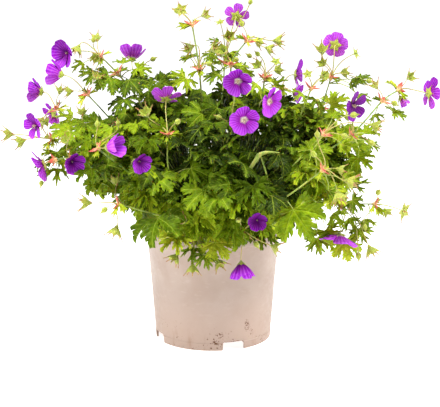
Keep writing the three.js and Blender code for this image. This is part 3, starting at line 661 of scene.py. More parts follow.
def leaf_finish(name, stops, vein_colour, vein_strength, spread):
    """A leaf's face: a vein along each lobe's axis, side veins off it, and patches of light and dark.
    spread is the angle between two lobes."""
    leaf = Finish(name, specular_ior_level=0.09, **FLESHY)
    x, y = leaf.flat()
    reach = (x * x + y * y).maths("SQRT")
    lobe = y.maths("ARCTAN2", x) / math.radians(spread)
    off = (lobe - lobe.maths("ROUND")) * math.radians(spread)
    aside = abs(reach * off.maths("SINE"))
    along = reach * off.maths("COSINE")
    steps = ((along - aside * 1.3) / 0.16).maths("FRACT")
    side = abs(steps - 0.5).eased(0.03, 0.14, 1, 0) * along.eased(0.2, 0.4)
    veins = aside.eased(0.006, 0.034, 1, 0).maths("MAXIMUM", side * 0.45)
    level = leaf.tint() + (leaf.grain(9, 3) - 0.5) * 0.6 + aside.eased(0.02, 0.12, 0.05, -0.05)
    leaf.colour(leaf.blend(veins * vein_strength, leaf.ramp(level, stops), vein_colour))
    leaf.rough(leaf.grain(2.5, 2).eased(0.3, 0.7, 0.38, 0.6))
    leaf.bump(veins * -0.6 + leaf.grain(7, 2) * 2.4, 0.8, 1.6)
    return leaf


# Stops of a colour ramp are (place, colour).
LEAF_STOPS = [(0.0, (38, 56, 0)), (0.3, (92, 118, 4)), (0.6, (148, 170, 20)), (0.85, (200, 208, 52)),
              (1.0, (234, 234, 120))]
BACK_STOPS = [(0.0, (78, 104, 20)), (0.5, (130, 152, 48)), (1.0, (206, 212, 110))]


def stalk_finish():
    """Fleshy stalks: yellow-green, with pink where the tint is high and in long flecks."""
    stalk = Finish("stalk", roughness=0.5, sheen_weight=0.3, **FLESHY)
    flecks = stalk.grain(4, 3, stretch=(1, 1, 0.25))
    stalk.colour(stalk.ramp(stalk.tint() + (flecks - 0.5) * 0.9, [
        (0.0, (48, 66, 14)),
        (0.16, (104, 138, 36)),
        (0.38, (160, 178, 64)),
        (0.7, (186, 156, 86)),
        (1.0, (196, 112, 96)),
    ]))
    stalk.bump(flecks, 0.3, 0.3)
    return stalk


def sepal_finish():
    """Sepals: yellow-green with paler ribs, reddening to their tips. The UV map runs along each."""
    sepal = Finish("sepal", roughness=0.55, sheen_weight=0.3, **SEPAL_FLESH)
    x, y = sepal.flat()
    ribs = (y * 60).maths("SINE")
    body = sepal.blend(ribs.eased(-1, 1, 0, 0.6), paint(142, 160, 24), paint(208, 210, 72))
    body = sepal.blend(sepal.grain(4, 3).eased(0.35, 0.65, 0.3, 0), body, paint(110, 134, 20))
    redden = x.eased(0.68, 0.86, 0, 0.8) + sepal.tint() * 0.15
    redden = redden * sepal.grain(3, 3).eased(0.35, 0.6, 0.4, 1)
    sepal.colour(sepal.blend(redden, body, paint(158, 84, 60)))
    sepal.bump(ribs + sepal.grain(1, 2), 0.3, 0.3)
    return sepal


def bract_finish():
    """Bracts and swollen joints: pale where they start, coral red at their ends."""
    bract = Finish("bract", roughness=0.5, sheen_weight=0.2, **SEPAL_FLESH)
    along = bract.flat()[0]
    bract.colour(bract.ramp(along.eased(0.0, 0.9, 0, 0.7) + bract.grain(3, 3) * 0.5, [
        (0.0, (214, 208, 120)),
        (0.45, (236, 160, 116)),
        (0.8, (226, 104, 82)),
        (1.0, (190, 70, 70)),
    ]))
    bract.bump(bract.grain(1, 2), 0.3, 0.3)
    return bract


PETAL_PLACES = (0.0, 0.1, 0.24, 0.6, 1.0)  # where the colours of a petal's ramp stand along it


def petal_finish(name, deep, pale):
    """A petal: light throat, dark inside, lilac towards the edge, with fine darker veins that fan out and
    paler stripes between them. deep and pale are the ramps of the darkest and the lightest bloom, which
    the tint mixes. The UV map's X runs from the bloom's middle to the petal's end."""
    petal = Finish(name, specular_ior_level=0.1, **FLESHY)
    x, y = petal.flat()
    lines = (y / (x + 0.25) * 38 + petal.grain(5, 2) * 2.4).maths("SINE")
    veins = lines.eased(0.3, 1.0) * x.eased(0.15, 0.8, 0.9, 0.45)
    soft = petal.grain(7, 2) - 0.5
    level = x + soft * 0.25
    deep_face, pale_face = (petal.ramp(level, list(zip(PETAL_PLACES, colours))) for colours in (deep, pale))
    face = petal.blend(petal.tint() + soft * 1.1, deep_face, pale_face)
    lit = x.eased(0.1, 0.3, 1, 0) * petal.tint().eased(0.2, 0.45)
    face = petal.blend(lit, face, paint(250, 238, 216))
    stripes = lines.eased(-0.2, -1.0) * x.eased(0.2, 0.6, 0, 0.26)
    face = petal.blend(stripes, face, paint(216, 136, 244))
    face = petal.blend(petal.tint().eased(0.1, -0.5, 0, 0.7), face, paint(74, 0, 84))
    petal.colour(petal.blend(veins * 0.45, face, paint(84, 0, 120)))
    petal.rough(petal.grain(2, 2).eased(0.3, 0.7, 0.45, 0.65))
    petal.bump(veins * -0.5 + petal.grain(2, 2), 0.35, 0.4)
    return petal


def speckled_finish(name, grain_size, first, second, **fixed):
    """Two colours that a fine grain mixes."""
    speckled = Finish(name, **fixed)
    speckled.colour(speckled.blend(speckled.grain(grain_size, 2), first, second))
    return speckled


# Marks of dried soil on the front of the pot: x, z, half width and half height.
SOIL_MARKS = [(46, 33, 4, 10), (52, 22, 3, 5), (9, 22, 6, 5), (30, 10.5, 14, 3), (4, 12, 6, 4)]


def pot_finish():
    """Moulded plastic: a broad mottle, fine scuffs, and dried soil in specks near the foot and in marks."""
    pot = Finish("pot_plastic", specular_ior_level=0.45)
    x, y, z = pot.split("Object")
    base = pot.blend(pot.grain(38, 3).eased(0.3, 0.7), paint(158, 137, 124), paint(166, 147, 135))
    scuffs = pot.grain(14, 6, stretch=(1, 1, 2.6)).eased(0.56, 0.74, 0, 0.3)
    base = pot.blend(scuffs, base, paint(180, 162, 150))
    # Painted light: the plastic is lighter towards the foot, as the white floor lights it from below.
    base = pot.blend(z.eased(0, 90 * MM, 0.9, 0), base, paint(182, 157, 142))
    streaks = pot.grain(9, 5, stretch=(1, 1, 0.3)).eased(0.5, 0.8, 0, 0.5) * z.eased(0, 40 * MM, 1, 0)
    base = pot.blend(streaks, base, paint(142, 104, 76))
    soil = pot.grain(2.8, 2).eased(0.64, 0.69) * pot.grain(22, 2).eased(0.5, 0.58)
    soil = soil * z.eased(20 * MM, 50 * MM, 1, 0.08)
    front = y.eased(-30 * MM, -20 * MM, 1, 0)
    crumbs = pot.grain(2.2, 2).eased(0.52, 0.57)
    for mark_x, mark_z, wide, high in SOIL_MARKS:
        across_it = (x - mark_x * MM) / (wide * MM)
        up_it = (z - mark_z * MM) / (high * MM)
        away = across_it.maths("POWER", 2) + up_it.maths("POWER", 2)
        soil = soil.maths("MAXIMUM", away.eased(0.4, 1, 1, 0) * front * crumbs)
    pot.colour(pot.blend(soil, base, paint(104, 66, 40)))
    pot.rough(pot.grain(6, 4).eased(0.3, 0.7, 0.4, 0.56))
    pot.bump(pot.grain(0.7, 2) + soil * 2, 0.12, 0.3)
    return pot


def compost_finish():
    soil = Finish("compost_crumbs", roughness=0.95)
    crumbs = soil.grain(3, 6)
    soil.colour(soil.ramp(crumbs, [
        (0.3, (34, 22, 15)),
        (0.5, (66, 44, 30)),
        (0.64, (104, 76, 54)),
        (0.8, (150, 122, 94)),
    ]))
    soil.bump(crumbs + soil.grain(1, 3), 0.9, 1.5)
    return soil


leaf_face = leaf_finish("leaf_face", LEAF_STOPS, paint(176, 196, 70), 0.4, GROWN_SPREAD)
leaf_back = leaf_finish("leaf_back", BACK_STOPS, paint(196, 206, 110), 0.45, GROWN_SPREAD)
young_face = leaf_finish("young_leaf_face", LEAF_STOPS, paint(220, 226, 110), 0.4, YOUNG_SPREAD)
petal_face = petal_finish(
    "petal_face",
    [(52, 0, 56), (60, 0, 72), (92, 0, 108), (128, 0, 158), (150, 10, 196)],
    [(130, 6, 110), (148, 6, 136), (170, 16, 176), (184, 50, 222), (200, 88, 240)])
petal_back = petal_finish(
    "petal_back",
    [(150, 80, 120), (146, 50, 130), (126, 14, 148), (132, 14, 168), (150, 30, 192)],
    [(210, 170, 170), (206, 110, 172), (186, 66, 194), (188, 74, 214), (200, 98, 230)])
filament_skin = speckled_finish("filament", 1, paint(236, 230, 150), paint(240, 214, 200), roughness=0.5)
anther_skin = speckled_finish("anther", 0.8, paint(60, 4, 40), paint(120, 20, 60), roughness=0.7,
                              sheen_weight=0.4)
stalk_skin = stalk_finish()
bract_skin = bract_finish()
BLOOM_SKINS = (petal_face, petal_back, filament_skin, anther_skin)
FILAMENT, ANTHER = 2, 3  # their numbers in BLOOM_SKINS
CALYX_SKINS = (sepal_finish(), stalk_skin)
pot_skin = pot_finish()
compost_skin = compost_finish()


# ---- Patterns: each is modelled once, at unit length along +X, and copied ----
def solid_sheet(piece, thickness, backed):
    """Gives a sheet its thickness and, if it is backed, its second finish on its back."""
    finish_with(piece, "SOLIDIFY", thickness=thickness, offset=0, use_even_offset=False,
                material_offset=1 if backed else 0)


def model_leaf(name, kind, reaches, stations, teeth):
    """A palmate leaf. One lobe is shaped, turned round the stalk's end for the others, and merged with
    them at the cuts; reaches are the lobes' lengths from the middle one outwards."""
    sides, spread, thickness = kind
    first = strip(name, stations)
    open_mesh(first)
    for station, *steps in teeth:
        draw_out(stations[station][:2], stations[station + 1][:2], *steps)
    close_mesh()
    past_cut = stations[1][0] + 0.02
    blades = []
    for k in range(1 - len(reaches), len(reaches)):
        lobe = copy_of(first)
        reach = reaches[abs(k)]
        open_mesh(lobe)
        pick(lambda at: at.x > past_cut)
        scale(reach, reach, 1)
        select_all_points()
        turn(k * spread, "Z")
        close_mesh()
        blades.append(lobe)
    bpy.data.objects.remove(first)
    leaf = join(blades, name)
    open_mesh(leaf, selected=True)
    bpy.ops.mesh.remove_doubles(threshold=0.03)
    bpy.ops.mesh.normals_make_consistent(inside=False)
    close_mesh()
    if sum(face.normal.z * face.area for face in leaf.data.polygons) < 0:
        open_mesh(leaf, selected=True)
        bpy.ops.mesh.flip_normals()
        close_mesh()
    wear(leaf, *sides)
    solid_sheet(leaf, thickness, True)
    smooth(leaf, 40)
    lay_flat(leaf)
    return leaf


# A lobe's stations are x, half width, middle height and edge height. The second one is where two lobes
# part. Each tooth is the station where it starts, up to the next one, and the steps of its edge.
BROAD_LOBE = [
    (0.0, 0.0, 0.0, 0.0),
    (0.42, 0.1958, -0.01, 0.05),
    (0.55, 0.2, -0.03, 0.04),
    (0.68, 0.225, -0.05, 0.02),
    (0.77, 0.125, -0.08, -0.03),
    (0.9, 0.105, -0.13, -0.1),
    (1.0, 0.03, -0.2, -0.19),
]
BROAD_TEETH = [
    (3, (0.83, 0.265, 0.8), (0.91, 0.29, 0.3)),
    (2, (0.66, 0.28, 0.4)),
    (4, (0.92, 0.18, 0.35)),
    (5, (1.0, 0.1, 0.4)),
]
DEEP_LOBE = [
    (0.0, 0.0, 0.0, 0.0),
    (0.34, 0.1585, 0.0, 0.06),
    (0.48, 0.14, -0.01, 0.07),
    (0.62, 0.172, -0.03, 0.05),
    (0.71, 0.09, -0.06, -0.01),
    (0.87, 0.08, -0.11, -0.07),
    (1.0, 0.02, -0.18, -0.17),
]
DEEP_TEETH = [
    (3, (0.79, 0.215, 0.85), (0.9, 0.26, 0.3)),
    (2, (0.62, 0.24, 0.4)),
    (5, (0.97, 0.1, 0.4)),
]
YOUNG_LOBE = [
    (0.0, 0.0, 0.0, 0.0),
    (0.28, 0.137, 0.0, 0.04),
    (0.44, 0.1, -0.02, 0.05),
    (0.6, 0.125, -0.04, 0.04),
    (0.7, 0.062, -0.07, -0.03),
    (1.0, 0.02, -0.2, -0.18),
]
YOUNG_TEETH = [(3, (0.84, 0.21, 0.35))]
LEAFLET = [
    (0.0, 0.02, 0.0, 0.0),
    (0.3, 0.11, -0.02, 0.03),
    (0.55, 0.15, -0.03, 0.02),
    (0.68, 0.075, -0.06, -0.03),
    (1.0, 0.01, -0.16, -0.15),
]
LEAFLET_TEETH = [(2, (0.8, 0.22, 0.3))]


def drooping(stations, droop, fold):
    """The same lobe with its end hanging droop times as far and its halves folded up by a share."""
    return [(x, half, middle * droop, edge * droop + fold * half) for x, half, middle, edge in stations]


# Kinds of leaves: the finishes of their two sides, the angle between their lobes and their thickness.
GROWN = ((leaf_face, leaf_back), GROWN_SPREAD, 0.018)
HALF_GROWN = ((young_face, leaf_back), GROWN_SPREAD, 0.025)
YOUNG = ((young_face, leaf_back), YOUNG_SPREAD, 0.025)
LITTLE = ((young_face, leaf_back), YOUNG_SPREAD, 0.03)
LARGE_LEAVES = [
    model_leaf("leaf_broad", GROWN, (1, 0.95, 0.8), BROAD_LOBE, BROAD_TEETH),
    model_leaf("leaf_deep", GROWN, (1, 0.93, 0.78), DEEP_LOBE, DEEP_TEETH),
    model_leaf("leaf_hanging", GROWN, (1, 0.92, 0.74), drooping(BROAD_LOBE, 1.8, 0.25), BROAD_TEETH),
    model_leaf("leaf_folded", GROWN, (1, 0.9, 0.8), drooping(DEEP_LOBE, 1.4, 0.5), DEEP_TEETH),
]
SMALL_LEAVES = [
    model_leaf("leaf_young", YOUNG, (1, 0.88), YOUNG_LOBE, YOUNG_TEETH),
    model_leaf("leaf_young_folded", YOUNG, (1, 0.8), drooping(YOUNG_LOBE, 1.3, 0.5), YOUNG_TEETH),
    model_leaf("leaf_half_grown", HALF_GROWN, (1, 0.92, 0.75), drooping(DEEP_LOBE, 1, 0.3), DEEP_TEETH[:1]),
]
LEAFLETS = [
    model_leaf("leaflet", LITTLE, (1,), LEAFLET, LEAFLET_TEETH),
    model_leaf("leaflet_folded", LITTLE, (1,), drooping(LEAFLET, 1.6, 0.5), LEAFLET_TEETH),
]


def ring_of(piece, first_angle, name):
    """Five copies of a piece round the Z axis."""
    copies = []
    for k in range(5):
        twin = copy_of(piece)
        turn_piece(twin, first_angle + 72 * k, "Z")
        copies.append(twin)
    bpy.data.objects.remove(piece)
    return join(copies, name)


# A petal's outline: the share of its length, half width and, where they are, how far its edges are
# drawn back.
PETAL = [(0.05, 0.06), (0.2, 0.19), (0.4, 0.37), (0.6, 0.5, 0.01), (0.79, 0.54, 0.03),
         (0.93, 0.45, 0.06), (0.985, 0.3)]


def petal_stations(tilt, narrow, flare, wave, swell):
    """A petal laid flat: curved across as a bowl of its tilt is, swelling outwards in its middle, its end
    flaring outwards."""
    length = 1 / math.cos(tilt)
    stations = []
    for i, (share, half, *drawn) in enumerate(PETAL):
        half *= narrow
        middle = -flare * share ** 3 - swell * 4 * share * (1 - share)
        hollowed = min(math.sin(tilt) * half * half / (2 * share * math.cos(tilt)), 0.16)
        ripple = wave * (1 if i % 2 else -0.6) * share
        stations.append((share * length, half, middle, middle + hollowed + ripple, *drawn))
    return stations


def model_stamen(long, lean, azimuth):
    filament = cone(4, 0.02, 0.01, long, long / 2)
    wear(filament, *BLOOM_SKINS, shown=FILAMENT)
    bpy.ops.mesh.primitive_ico_sphere_add(subdivisions=1, radius=0.024, location=(0, 0, long))
    bpy.ops.object.transform_apply(location=True)
    anther = bpy.context.object
    wear(anther, *BLOOM_SKINS, shown=ANTHER)
    stamen = join([filament, anther], "stamen")
    open_mesh(stamen, selected=True)
    turn(lean, "Y")
    turn(azimuth, "Z")
    slide(0, 0, 0.02)
    close_mesh()
    return stamen


def model_bloom(name, tilt, narrow, flare, wave, swell):
    """Five petals that overlap like tiles, ten stamens with dark anthers round a style. The bloom's
    mouth is 1 from its axis."""
    petal = strip("petal", petal_stations(math.radians(tilt), narrow, flare, wave, swell), cells=4)
    wear(petal, *BLOOM_SKINS)
    finish_with(petal, "SUBSURF", levels=1, render_levels=1)
    solid_sheet(petal, 0.022, True)
    lay_flat(petal, UV_SHARE * math.cos(math.radians(tilt)))
    turn_piece(petal, 8, "X")
    turn_piece(petal, -tilt, "Y")
    parts = [ring_of(petal, 30.5, "petals")]
    for k in range(10):
        parts.append(model_stamen(0.26 if tilt < 30 else 0.17, 16 if k % 2 else 38, 36 * k))
    style = cone(6, 0.06, 0.02, 0.24, 0.12)
    wear(style, *BLOOM_SKINS, shown=FILAMENT)
    bloom = join(parts + [style], name)
    smooth(bloom, 60)
    return bloom


# Blooms by how deep they stand, as their petals' tilt: flat and old ones, open bowls and young funnels.
BLOOM_PATTERNS = {
    17: [model_bloom("bloom_flat", 17, 0.96, 0.05, 0.025, 0.03),
         model_bloom("bloom_old", 18, 0.74, 0.05, 0.03, 0.02)],
    38: [model_bloom("bloom_bowl", 38, 1.0, 0.04, 0.02, 0.08),
         model_bloom("bloom_waved", 38, 0.82, 0.09, 0.03, 0.04)],
    53: [model_bloom("bloom_funnel", 53, 0.98, 0.04, 0.02, 0.16)],
}

SEPAL_STATIONS = [
    (0.06, 0.1, 0.0, 0.02),
    (0.22, 0.23, -0.05, 0.05),
    (0.42, 0.28, -0.09, 0.05),
    (0.6, 0.2, -0.07, 0.03),
    (0.78, 0.08, -0.03, 0.01),
    (0.86, 0.035, 0.0, 0.01),
    (1.14, 0.026, 0.03, 0.03),
]


def model_calyx(name, rise, curl, beak):
    """Five sepals on a small cup, with a pointed beak of ripening seed in the middle if it has one."""
    sepal = strip("sepal", [(x, half, middle + curl * x * x, edge + curl * x * x)
                            for x, half, middle, edge in SEPAL_STATIONS])
    wear(sepal, *CALYX_SKINS)
    solid_sheet(sepal, 0.045, False)
    lay_flat(sepal)
    turn_piece(sepal, -rise, "Y")
    parts = [ring_of(sepal, 36, "sepals"), cone(8, 0.05, 0.17, 0.16, -0.02)]
    wear(parts[1], *CALYX_SKINS)
    if beak:
        middle = beak / 2 + 0.04
        seed = cone(7, 0.1, 0.012, beak, middle)
        wear(seed, *CALYX_SKINS, shown=1)
        open_mesh(seed, selected=True)
        bpy.ops.mesh.subdivide(number_cuts=1)
        pick(lambda at: abs(at.z - middle) < 0.01)
        scale(0.6, 0.6, 1, (0, 0, middle))
        close_mesh()
        parts.append(seed)
    calyx = join(parts, name)
    smooth(calyx, 50)
    return calyx


# Calyces under blooms, by the same tilts, and spent ones.
BLOOM_CALYCES = {
    17: model_calyx("calyx_flat", 11, 0, 0),
    38: model_calyx("calyx_bowl", 30, 0.02, 0),
    53: model_calyx("calyx_funnel", 45, 0.03, 0),
}
calyx_star = model_calyx("calyx_star", 6, 0.1, 0.66)
calyx_cup = model_calyx("calyx_cup", 56, -0.12, 0.9)


def model_bud():
    """A closed bud, ribbed by its five wrapped sepals, their long tips meeting in a point."""
    bpy.ops.mesh.primitive_uv_sphere_add(segments=10, ring_count=7, radius=0.27, location=(0, 0, 0))
    bud = bpy.context.object
    bud.name = "bud"
    open_mesh(bud, selected=True)
    scale(1, 1, 1.35)
    slide(0, 0, 0.34)
    pick(lambda at: at.xy.length > 0.02 and abs(math.degrees(math.atan2(at.y, at.x)) % 72 - 36) < 9)
    scale(0.84, 0.84, 1, (0, 0, 0.34))
    pick(lambda at: at.z > 0.56)
    scale(0.7, 0.7, 1, (0, 0, 0.6))
    pick(lambda at: at.z > 0.69)
    slide(0, 0, 0.3)
    close_mesh()
    wear(bud, *CALYX_SKINS)
    layer = bud.data.uv_layers.active
    for loop in bud.data.loops:
        at = bud.data.vertices[loop.vertex_index].co
        layer.data[loop.index].uv = (0.5 + UV_SHARE * at.z, 0.5 + 0.05 * math.atan2(at.y, at.x))
    smooth(bud, 60)
    return bud


def model_bracts():
    """A fork's swollen joint with a pair of pointed bracts that spread along +Z and -Z and lean to +X."""
    parts = []
    for side in (1, -1):
        blade = strip("bract", [
            (0.0, 0.12, 0.0, 0.03),
            (0.25, 0.25, -0.02, 0.06),
            (0.55, 0.23, -0.02, 0.05),
            (0.8, 0.1, 0.0, 0.02),
            (1.0, 0.0, 0.05, 0.05),
        ])
        wear(blade, bract_skin)
        solid_sheet(blade, 0.07, False)
        lay_flat(blade)
        turn_piece(blade, -62 * side, "Y")
        parts.append(blade)
    bpy.ops.mesh.primitive_uv_sphere_add(segments=8, ring_count=5, radius=0.2, location=(0, 0, 0))
    joint = bpy.context.object
    joint.scale = (1.3, 1, 1)
    bpy.ops.object.transform_apply(scale=True)
    wear(joint, bract_skin)
    lay_flat(joint)
    pair = join(parts + [joint], "bract_pair")
    smooth(pair, 50)
    return pair


bud_closed = model_bud()
bract_pair = model_bracts()
# What a twig carries, but for its blooms: its pattern and the pattern's unit as a share of its width.
TWIG_ENDS = {"bud": (bud_closed, 1), "star": (calyx_star, 0.5), "cup": (calyx_cup, 0.95)}
# The leaves below a branch's bends and its forks: their patterns and the ranges of size and of reach.
BEND_LEAVES = (LARGE_LEAVES, (27, 34), (30, 52))
FORK_LEAVES = (SMALL_LEAVES, (19, 25), (13, 22))


# ---- Growing a node ----
class Growth:
    """What one node is made of, until it is joined into one piece."""

    def __init__(self, node):
        self.node = node
        self.parts = []
        self.stalks = {}

    def add(self, pattern, place, size, tint, deeper=1, painted_top_shade=0):
        mesh = pattern.data.copy()
        stretch = Matrix.Diagonal((size, size, size * deeper, 1))
        mesh.transform(Matrix.Scale(MM, 4) @ place @ stretch)
        tinted(mesh, tint, painted_top_shade / (size * MM), place.translation.z * MM)
        self.parts.append(place_new(pattern.name, mesh))

    def stalk(self, line, thick, thin, tint, swell=()):
        """A round stalk along the line; swell lists the places in it that are swollen."""
        last = len(line) - 1
        radii = [mix(thick, thin, i / last) * (STEM["swell"] if i in swell else 1) for i in range(last + 1)]
        self.stalks.setdefault(tint, []).append((line, radii))

    def leaf(self, pattern, size, start, over, at, normal, tip, tint):
        """A leaf at a place, on a stalk that bends over from its start."""
        steps = max(3, round((start - at).length / 18))
        # Painted shade: the stalks of dark leaves, which lie in the plant's shaded inside and hollows, are
        # dark too.
        stalk_tint = 0.4 if tint > 0.15 else -0.5
        self.stalk(bezier([start, over, at], steps), STEM["petiole"], STEM["tip"], stalk_tint)
        self.add(pattern, stand(at, normal, tip), size, tint)

    def round_stalks(self, tint, lines):
        """The stalks of one tint as a mesh."""
        curve = bpy.data.curves.new("stalks", "CURVE")
        curve.dimensions = "3D"
        curve.bevel_depth = MM
        curve.bevel_resolution = 1
        curve.use_fill_caps = True
        curve.materials.append(stalk_skin.material)
        for line, radii in lines:
            spline = curve.splines.new("POLY")
            spline.points.add(len(line) - 1)
            for point, place, radius in zip(spline.points, line, radii):
                point.co = (*(place * MM), 1)
                point.radius = radius
        only(place_new("stalks", curve))
        bpy.ops.object.convert(target="MESH")
        stalks = bpy.context.object
        smooth(stalks, 60)
        tinted(stalks.data, tint)
        self.parts.append(stalks)

    def finish(self, slot):
        for tint, lines in self.stalks.items():
            self.round_stalks(tint, lines)
        piece = join(self.parts, self.node + "_grown")
        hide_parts(self.node)
        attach(piece, "root")
        return piece


blooms = []  # each bloom's middle and radius
growths = []  # what is grown, each with its slot


def grow_bloom(place, end, out, width, depth):
    """A bloom in a node of its own. Gives the calyx whose sepals stand as its petals do."""
    number = len(blooms)
    growth = Growth(f"bloom_{number + 1:02d}")
    slope = 2 * depth / width
    tilt = min(BLOOM_PATTERNS, key=lambda angle: abs(math.tan(math.radians(angle)) - slope))
    pattern = BLOOM_PATTERNS[tilt][-1 if number + 1 in NARROW_BLOOMS else 0]
    seat = place.copy()
    seat.translation = end + out * 0.3
    # Painted shade: the bloom's tint falls towards its top, so its upper petals are darker.
    growth.add(pattern, seat, width / 2, BLOOM_TONES[number], slope / math.tan(math.radians(tilt)), painted_top_shade=0.5)
    blooms.append((end + out * depth, width / 2))
    growths.append((growth, "petal_purple"))
    return BLOOM_CALYCES[tilt]


def grow_twig(growth, fork, way, twig, number):
    _, kind, x, y, z, azimuth, elevation, width, *depth = twig
    end, out = Vector((x, y, z)), facing(azimuth, elevation)
    reach = (fork - end).length
    path = bezier([fork, fork + way * reach * 0.35, end - out * min(reach * 0.4, 22), end - out * 1.4], 9)
    growth.stalk(path, STEM["branch"], STEM["tip"] + 0.1, 0.55, swell=(9,))
    place = stand(end, out, across(out))
    tint = draw(number, 3)
    if kind == "bloom":
        calyx = grow_bloom(place, end, out, width, *depth)
        lower = place.copy()
        lower.translation = end - out * SEPAL["thick"]
        growth.add(calyx, lower, SEPAL["length"] * 1.1, tint)
    else:
        pattern, unit = TWIG_ENDS[kind]
        growth.add(pattern, place, width * unit, tint)


def grow_branch(growth, root, branch, index):
    through, forks, twigs, _ = branch
    points = [Vector((*root, CROWN_TOP))] + [Vector(p) for p in through]
    first = len(points) - forks
    ways = [(p - points[max(0, i - 1)]).normalized() for i, p in enumerate(points)]
    line = smooth_line(points, 6)
    swell = [6 * i for i in range(first, len(points))]
    growth.stalk(line, STEM["radius"], STEM["radius"] * 0.5, 0.2 + 0.15 * (index % 2), swell=swell)
    for f in range(forks):
        fork, way = points[first + f], ways[first + f]
        side = across(way, index * 2.1 + f)
        growth.add(bract_pair, stand(fork, side, way), BRACT_LENGTH, draw(index, f))
        side = turned(side, way, 1.4)
        growth.add(bract_pair, stand(fork, side, way), BRACT_LENGTH * 0.8, draw(index, f + 3))
    for t, twig in enumerate(twigs):
        grow_twig(growth, points[first + twig[0]], ways[first + twig[0]], twig, index * 7 + t)
    return points, ways, first, line


def spoils_bloom(at, size):
    """Whether a piece reaches into a bloom."""
    return any((middle - at).length < radius + size * 0.7 for middle, radius in blooms)


def covers_bloom(at, size):
    """Whether a piece stands before a bloom, seen from the front and a little above."""
    front = facing(0, VIEW_RISE)
    for middle, radius in blooms:
        offset = at - middle
        ahead = offset.dot(front)
        if ahead > 0 and (offset - front * ahead).length < radius * 0.8 + size * 0.4:
            return True
    return False


def crowd_fork(growth, fork, way, number):
    """The little leaves, buds and spent calyces of a fork, where they spoil no bloom."""
    for k in range(CROWD["leaflets"]):
        out = across(way, 1.7 * k + 6 * draw(number, 20 + k)) + way * mix(-0.4, 0.8, draw(number, k))
        size = CROWD["leaflet"] * mix(0.6, 1.2, draw(number, 26 + k))
        normal = Vector((draw(number, 30 + k) - 0.5, -0.5, 0.7)) + way * 0.4
        place = stand(fork + out * 2, normal, out - Vector((0, 0, 0.3)))
        middle = fork + out * size * 0.5
        if not (spoils_bloom(middle, size * 0.5) or covers_bloom(middle, size * 0.5)):
            growth.add(LEAFLETS[(number + k) % 2], place, size, mix(0.4, 0.85, draw(number, 34 + k)))
    for k in range(CROWD["stalks"]):
        out = across(way, math.pi * k + 6 * draw(number, 40)) + way * mix(0.2, 1, draw(number, 41 + k))
        out.normalize()
        end = fork + out * CROWD["stalk"] * mix(0.6, 1.15, draw(number, 44 + k)) + Vector((0, 0, 4))
        if spoils_bloom(end, 12) or covers_bloom(end, 12):
            continue
        growth.stalk(bezier([fork, fork + way * 8 + out * 4, end], 5), 0.65, 0.45, 0.6)
        kind = bud_closed if draw(number, 46 + k) < 0.4 else calyx_cup
        place = stand(end, out + Vector((0, 0, -0.2)), across(out))
        growth.add(kind, place, CROWD["end"], draw(number, 48 + k))


def hollow(at):
    """How deep in a hollow a place is, which is the depth of the painted shade that darkens a leaf there."""
    if at.y > HOLLOW_BACK:
        return 0
    return max(shade * max(0, 1 - ((at.x - x) ** 2 + (at.z - z) ** 2) / reach ** 2) ** 0.5
               for x, z, reach, shade in HOLLOWS)


def leaf_tint(number, at):
    """A large leaf's tint: painted shade in the thick of the plant and in hollows, darker on the left,
    painted light in its skirt and on its right.
    """
    # Painted shade darkens leaves in the plant's core; painted light lifts those low down and on the right.
    painted_core_shade = max(0, 1 - ((at.x - 25) / 130) ** 2) * share_of(at.z, 175, 225)
    painted_side_light = share_of(at.x, 60, 140) + share_of(at.z, 200, 170)
    left = share_of(at.x, -60, -140)
    tint = mix(0.2, 0.62, draw(number, 8)) - 0.12 * painted_core_shade - 0.12 * left + 0.12 * min(1, painted_side_light)
    return tint - hollow(at)


def nearest(line, place):
    return min(line, key=lambda other: (other - place).length)


def listed_leaves(growth, grown, leaves, seed):
    """The leaves that a branch lists."""
    points, ways, _, line = grown
    for i, (point, x, y, z, size) in enumerate(leaves):
        number = seed * 17 + i
        at, way = Vector((x, y, z)), ways[point + 1]
        start = points[point + 1] - way * (4 + 4 * (i % 2))
        out = (at - start).normalized()
        over = start.lerp(at, 0.5) + way * (at - start).length * 0.25
        low_right = share_of(at.x, 90, 130) * share_of(at.z, 230, 190)
        upright = 0.9 * low_right
        normal = Vector((draw(number, 3) - 0.5, -0.2 - 0.7 * draw(number, 4) - upright, 0.9 - 0.5 * upright))
        if size < LARGE_FROM:
            kinds, tint = SMALL_LEAVES, mix(0.22, 0.54, draw(number, 8))
        else:
            # Painted light: large leaves low on the right get a lighter tint, lifting them out of their
            # shade.
            kinds, tint = LARGE_LEAVES, leaf_tint(number, at) + 0.12 * low_right
        growth.leaf(kinds[number % len(kinds)], size, nearest(line, start), over, at, normal,
                    out - Vector((0, 0, 0.35)), tint)


def branch_leaves(growth, grown, seed):
    """A pair of leaves below each bend and fork of a branch, large below and small above."""
    points, ways, first, line = grown
    for p in range(1, len(points)):
        kinds, sizes, reaches = FORK_LEAVES if p >= first else BEND_LEAVES
        size = mix(*sizes, draw(seed, p))
        for side in (0, 1):
            start = points[p] + ways[p] * (-5 - 4 * side)
            number = seed * 31 + p * 7 + side
            out = across(ways[p], math.pi * side + 1.3 * p + draw(number, 1))
            out.z += 0.35
            out.normalize()
            reach = mix(*reaches, draw(number, 2))
            at = start + out * reach + ways[p] * reach * 0.4
            over = start + out * reach * 0.5 + ways[p] * reach * 0.5
            normal = Vector((draw(number, 3) - 0.5, -draw(number, 4) * 0.9, 1)) + out * 0.25
            tip = out - Vector((0, 0, 0.35))
            if spoils_bloom(at, size):
                continue
            tint = mix(0.36, 0.84, draw(number, 8)) if p >= first else leaf_tint(number, at)
            growth.leaf(kinds[number % len(kinds)], size, nearest(line, start), over, at, normal, tip, tint)


